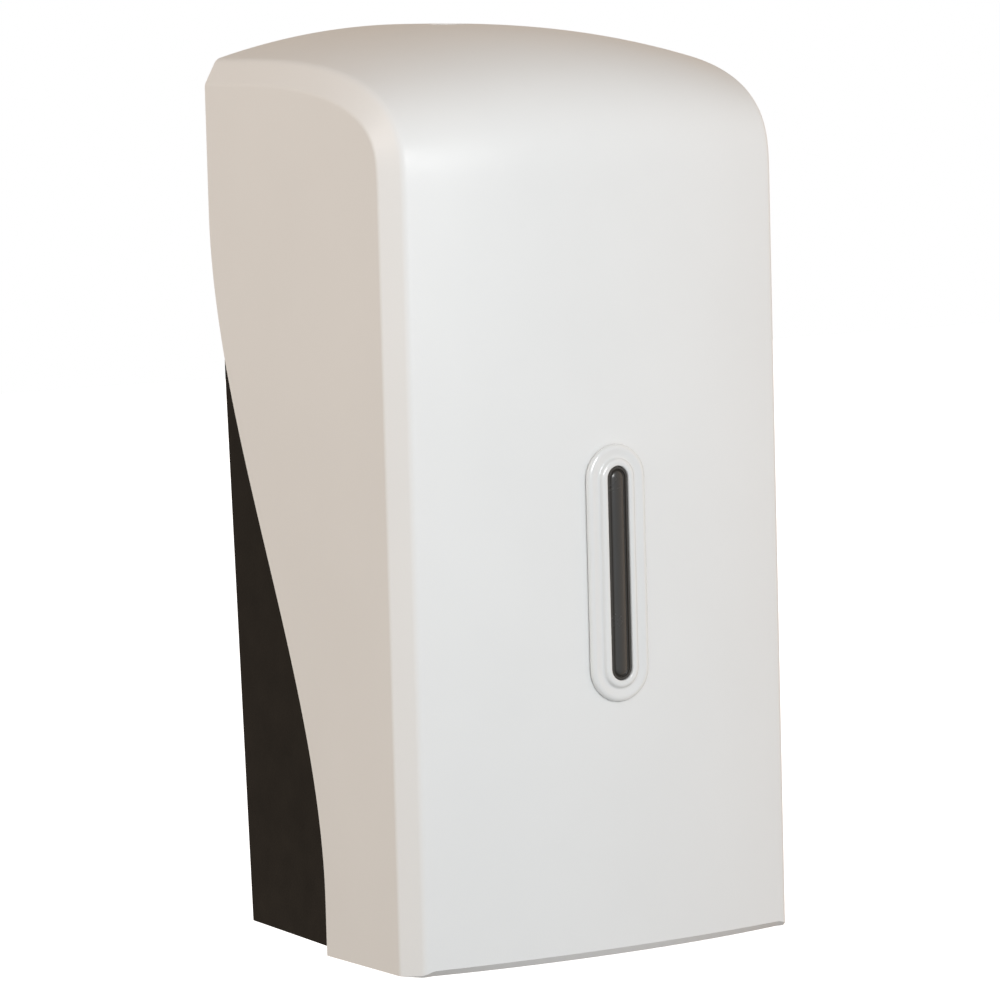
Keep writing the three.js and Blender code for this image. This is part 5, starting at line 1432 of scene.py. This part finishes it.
def battery_cell(x):
    """A cell in a printed sleeve: the sleeve laps over both ends, and the button stands proud."""
    low = CELL_BOTTOM
    bare = low + 49.5
    top = low + CELL_LENGTH
    r = CELL_RADIUS
    profile = [(0, low + 0.25), (4.6, low + 0.25), (4.8, low), (6.4, low), (6.95, low + 0.25), (r, low + 0.8),
               (r, bare - 1.0), (6.8, bare - 0.35), (6.2, bare), (5.7, bare), (5.6, bare - 0.25),
               (2.75, bare - 0.25), (2.7, bare), (2.6, top - 0.25), (2.3, top), (0, top)]
    cell = shade(turned("cell", profile, "z", (x, CELL_Y), 64), 40)
    dress(cell, "cell_wrap")
    paint_faces(cell, "steel", lambda at: (at.z > bare - 0.3 or at.z < low + 0.3)
                and math.hypot(at.x - x, at.y - CELL_Y) < 5.7)
    paint_faces(cell, "brass", lambda at: bare - 10 < at.z < bare - 0.3)
    return cell


def cone_spring(centre, low, high):
    """A conical coil spring, wide end down, with a flat end on top."""
    wire, turns, steps, sides = 0.35, 3.5, 30, 8
    total = int(turns * steps)
    rings = []
    for i in range(total + 1):
        share = i / total
        radius = 4.5 - wire - 1.9 * share
        angle = 2 * math.pi * turns * share
        z = low + wire + (high - low - 2 * wire) * min(share * 1.12, 1.0)
        out = (math.cos(angle), math.sin(angle))
        ring_points = []
        for k in range(sides):
            turn = 2 * math.pi * k / sides
            reach = radius + wire * math.cos(turn)
            ring_points.append((centre[0] + reach * out[0], centre[1] + reach * out[1],
                                z + wire * math.sin(turn)))
        rings.append(ring_points)
    return loft("spring", rings)


def battery_contact(side, lower):
    """A plate across both cells of one side: springs on the lower one, dimples in the upper one."""
    z = TRAY_Z[0] + TRAY_SKIN + GAP if lower else CELL_BOTTOM + CELL_LENGTH + GAP
    contact = side_block("contact", side, CONTACT_X, CONTACT_Y, (z, z + CONTACT_THICK))
    dimple = [(0, z + 0.25), (2, z + 0.25), (2.6, z + 2), (0, z + 2)]
    for x in CELL_X:
        if lower:
            union(contact, cone_spring((side * x, CELL_Y), z + CONTACT_THICK - 0.3, CELL_BOTTOM - GAP))
        else:
            cut(contact, turned("dimple", dimple, "z", (side * x, CELL_Y), 40))
    return shade(contact, 38)


cell_number = 0
for side_name, side in SIDES:
    adopt(battery_tray(side), f"battery_tray_{side_name}")
    adopt(battery_contact(side, True), f"battery_contact_lower_{side_name}")
    adopt(battery_contact(side, False), f"battery_contact_upper_{side_name}")
    for x in CELL_X:
        cell_number += 1
        adopt(battery_cell(side * x), f"battery_cell_{cell_number}")

# ---------------------------------------------------------------- camera, lights and floor

CAMERA_AZIMUTH = -32.26
CAMERA_ELEVATION = 5.67
CAMERA_ROLL = -1.52
CAMERA_DISTANCE = 1618.9
CAMERA_TARGET = (0.0, -58.7, 0.0)
CAMERA_SHIFT = (-1.1, -6.8)
FOCAL_PIXELS = 5072.8
FRAME_PIXELS = 1000
SENSOR = 36.0


def add_camera():
    azimuth, elevation, roll = (math.radians(a) for a in (CAMERA_AZIMUTH, CAMERA_ELEVATION, CAMERA_ROLL))
    back = Vector((math.sin(azimuth) * math.cos(elevation), -math.cos(azimuth) * math.cos(elevation),
                   math.sin(elevation)))
    right = Vector((math.cos(azimuth), math.sin(azimuth), 0))
    up = back.cross(right)
    right_rolled = math.cos(roll) * right + math.sin(roll) * up
    up_rolled = -math.sin(roll) * right + math.cos(roll) * up
    place = Vector(CAMERA_TARGET) + back * CAMERA_DISTANCE + right * CAMERA_SHIFT[0] + up * CAMERA_SHIFT[1]
    data = bpy.data.cameras.new("camera")
    data.sensor_width = SENSOR
    data.lens = FOCAL_PIXELS / FRAME_PIXELS * SENSOR
    data.clip_end = 50
    camera = bpy.data.objects.new("camera", data)
    turn = Matrix((right_rolled, up_rolled, back)).transposed()
    camera.matrix_world = Matrix.Translation(place * MM) @ turn.to_4x4()
    bpy.context.scene.collection.objects.link(camera)
    bpy.context.scene.camera = camera


def area_light(name, place, target, size, power, colour=(1, 1, 1)):
    """A round light when the size is one number, and an upright panel when it is a pair."""
    data = bpy.data.lights.new(name, "AREA")
    if isinstance(size, tuple):
        data.shape = "RECTANGLE"
        data.size, data.size_y = size
    else:
        data.shape = "DISK"
        data.size = size
    data.energy = power
    data.color = colour
    lamp = bpy.data.objects.new(name, data)
    direction = Vector(target) - Vector(place)
    turn = direction.to_track_quat("-Z", "Y").to_matrix().to_4x4()
    lamp.matrix_world = Matrix.Translation(Vector(place)) @ turn
    lamp.visible_camera = False
    bpy.context.scene.collection.objects.link(lamp)


SKY = (
    # direction, and the colour and strength of the soft light that comes from it
    ((0, -1, 0), (0.485, 0.562, 0.64)),
    ((-1, 0, 0), (0.71, 0.67, 0.62)),
    ((1, 0, 0), (0.86, 0.655, 0.49)),
    ((0, 0, 1), (0.2, 0.2, 0.2)),
    ((0, 0, -1), (0.06, 0.06, 0.06)),
    ((0, 1, 0), (0.63, 0.48, 0.34)),
)


def studio_world():
    """Soft light from all round, a colour for each side of the room, seen as plain white."""
    world = bpy.data.worlds.new("studio")
    world.use_nodes = True
    tree = world.node_tree
    sky = tree.nodes["Background"]
    place = tree.nodes.new("ShaderNodeTexCoord")

    def math_node(kind, operation):
        made = tree.nodes.new(kind)
        made.operation = operation
        return made

    total = None
    for direction, colour in SKY:
        dot = math_node("ShaderNodeVectorMath", "DOT_PRODUCT")
        dot.inputs[1].default_value = direction
        link(tree, place.outputs["Generated"], dot.inputs[0])
        facing = math_node("ShaderNodeMath", "MAXIMUM")
        facing.inputs[1].default_value = 0
        link(tree, dot.outputs["Value"], facing.inputs[0])
        share = math_node("ShaderNodeMath", "POWER")
        share.inputs[1].default_value = 2
        link(tree, facing.outputs[0], share.inputs[0])
        glow = math_node("ShaderNodeVectorMath", "SCALE")
        glow.inputs[0].default_value = colour
        link(tree, share.outputs[0], glow.inputs["Scale"])
        if total is None:
            total = glow.outputs["Vector"]
        else:
            add = math_node("ShaderNodeVectorMath", "ADD")
            link(tree, total, add.inputs[0])
            link(tree, glow.outputs["Vector"], add.inputs[1])
            total = add.outputs["Vector"]
    link(tree, total, sky.inputs["Color"])
    backdrop = tree.nodes.new("ShaderNodeBackground")
    ray = tree.nodes.new("ShaderNodeLightPath")
    mix = tree.nodes.new("ShaderNodeMixShader")
    link(tree, ray.outputs["Is Camera Ray"], mix.inputs["Fac"])
    link(tree, sky.outputs["Background"], mix.inputs[1])
    link(tree, backdrop.outputs["Background"], mix.inputs[2])
    link(tree, mix.outputs["Shader"], tree.nodes["World Output"].inputs["Surface"])
    backdrop.inputs["Color"].default_value = (1, 1, 1, 1)
    bpy.context.scene.world = world


def add_lights():
    studio_world()
    area_light("key", (-0.12, -1.0, 0.28), (0, -0.1, 0.1), 0.4, 4.35, (0.985, 0.99, 1.0))
    area_light("side_fill", (-0.92, 0.06, 0.45), (0, -0.06, 0.08), 0.4, 2.1, (1.0, 0.84, 0.75))
    area_light("left_strip", (-1.02, -0.72, 0.0), (0, -0.1, 0), (0.02, 1.0), 0.07)
    area_light("right_strip", (0.95, -0.84, 0.0), (0, -0.1, 0), (0.03, 1.0), 0.16)
    bpy.context.scene.view_settings.view_transform = "Standard"


def add_floor():
    """A pale floor well below the dispenser, as on a white sweep. It throws no light back."""
    size = 30.0
    drop = -2.5
    points = [(-size, -size, drop), (size, -size, drop), (size, size, drop), (-size, size, drop)]
    mesh = bpy.data.meshes.new("floor")
    mesh.from_pydata(points, [], [(0, 1, 2, 3)])
    floor = bpy.data.objects.new("floor", mesh)
    bpy.context.scene.collection.objects.link(floor)
    made, tree, shader = node_material("floor")
    shader.inputs["Roughness"].default_value = 0.9
    paint = ramp(tree, noise(tree, 2), (0.93, 0.93, 0.93, 1), (0.95, 0.95, 0.95, 1))
    link(tree, paint, shader.inputs["Base Color"])
    shader.inputs["Emission Color"].default_value = (1, 1, 1, 1)
    shader.inputs["Emission Strength"].default_value = 1.0
    mesh.materials.append(made)
    floor.visible_diffuse = False
    floor.visible_glossy = False


add_camera()
add_lights()
add_floor()
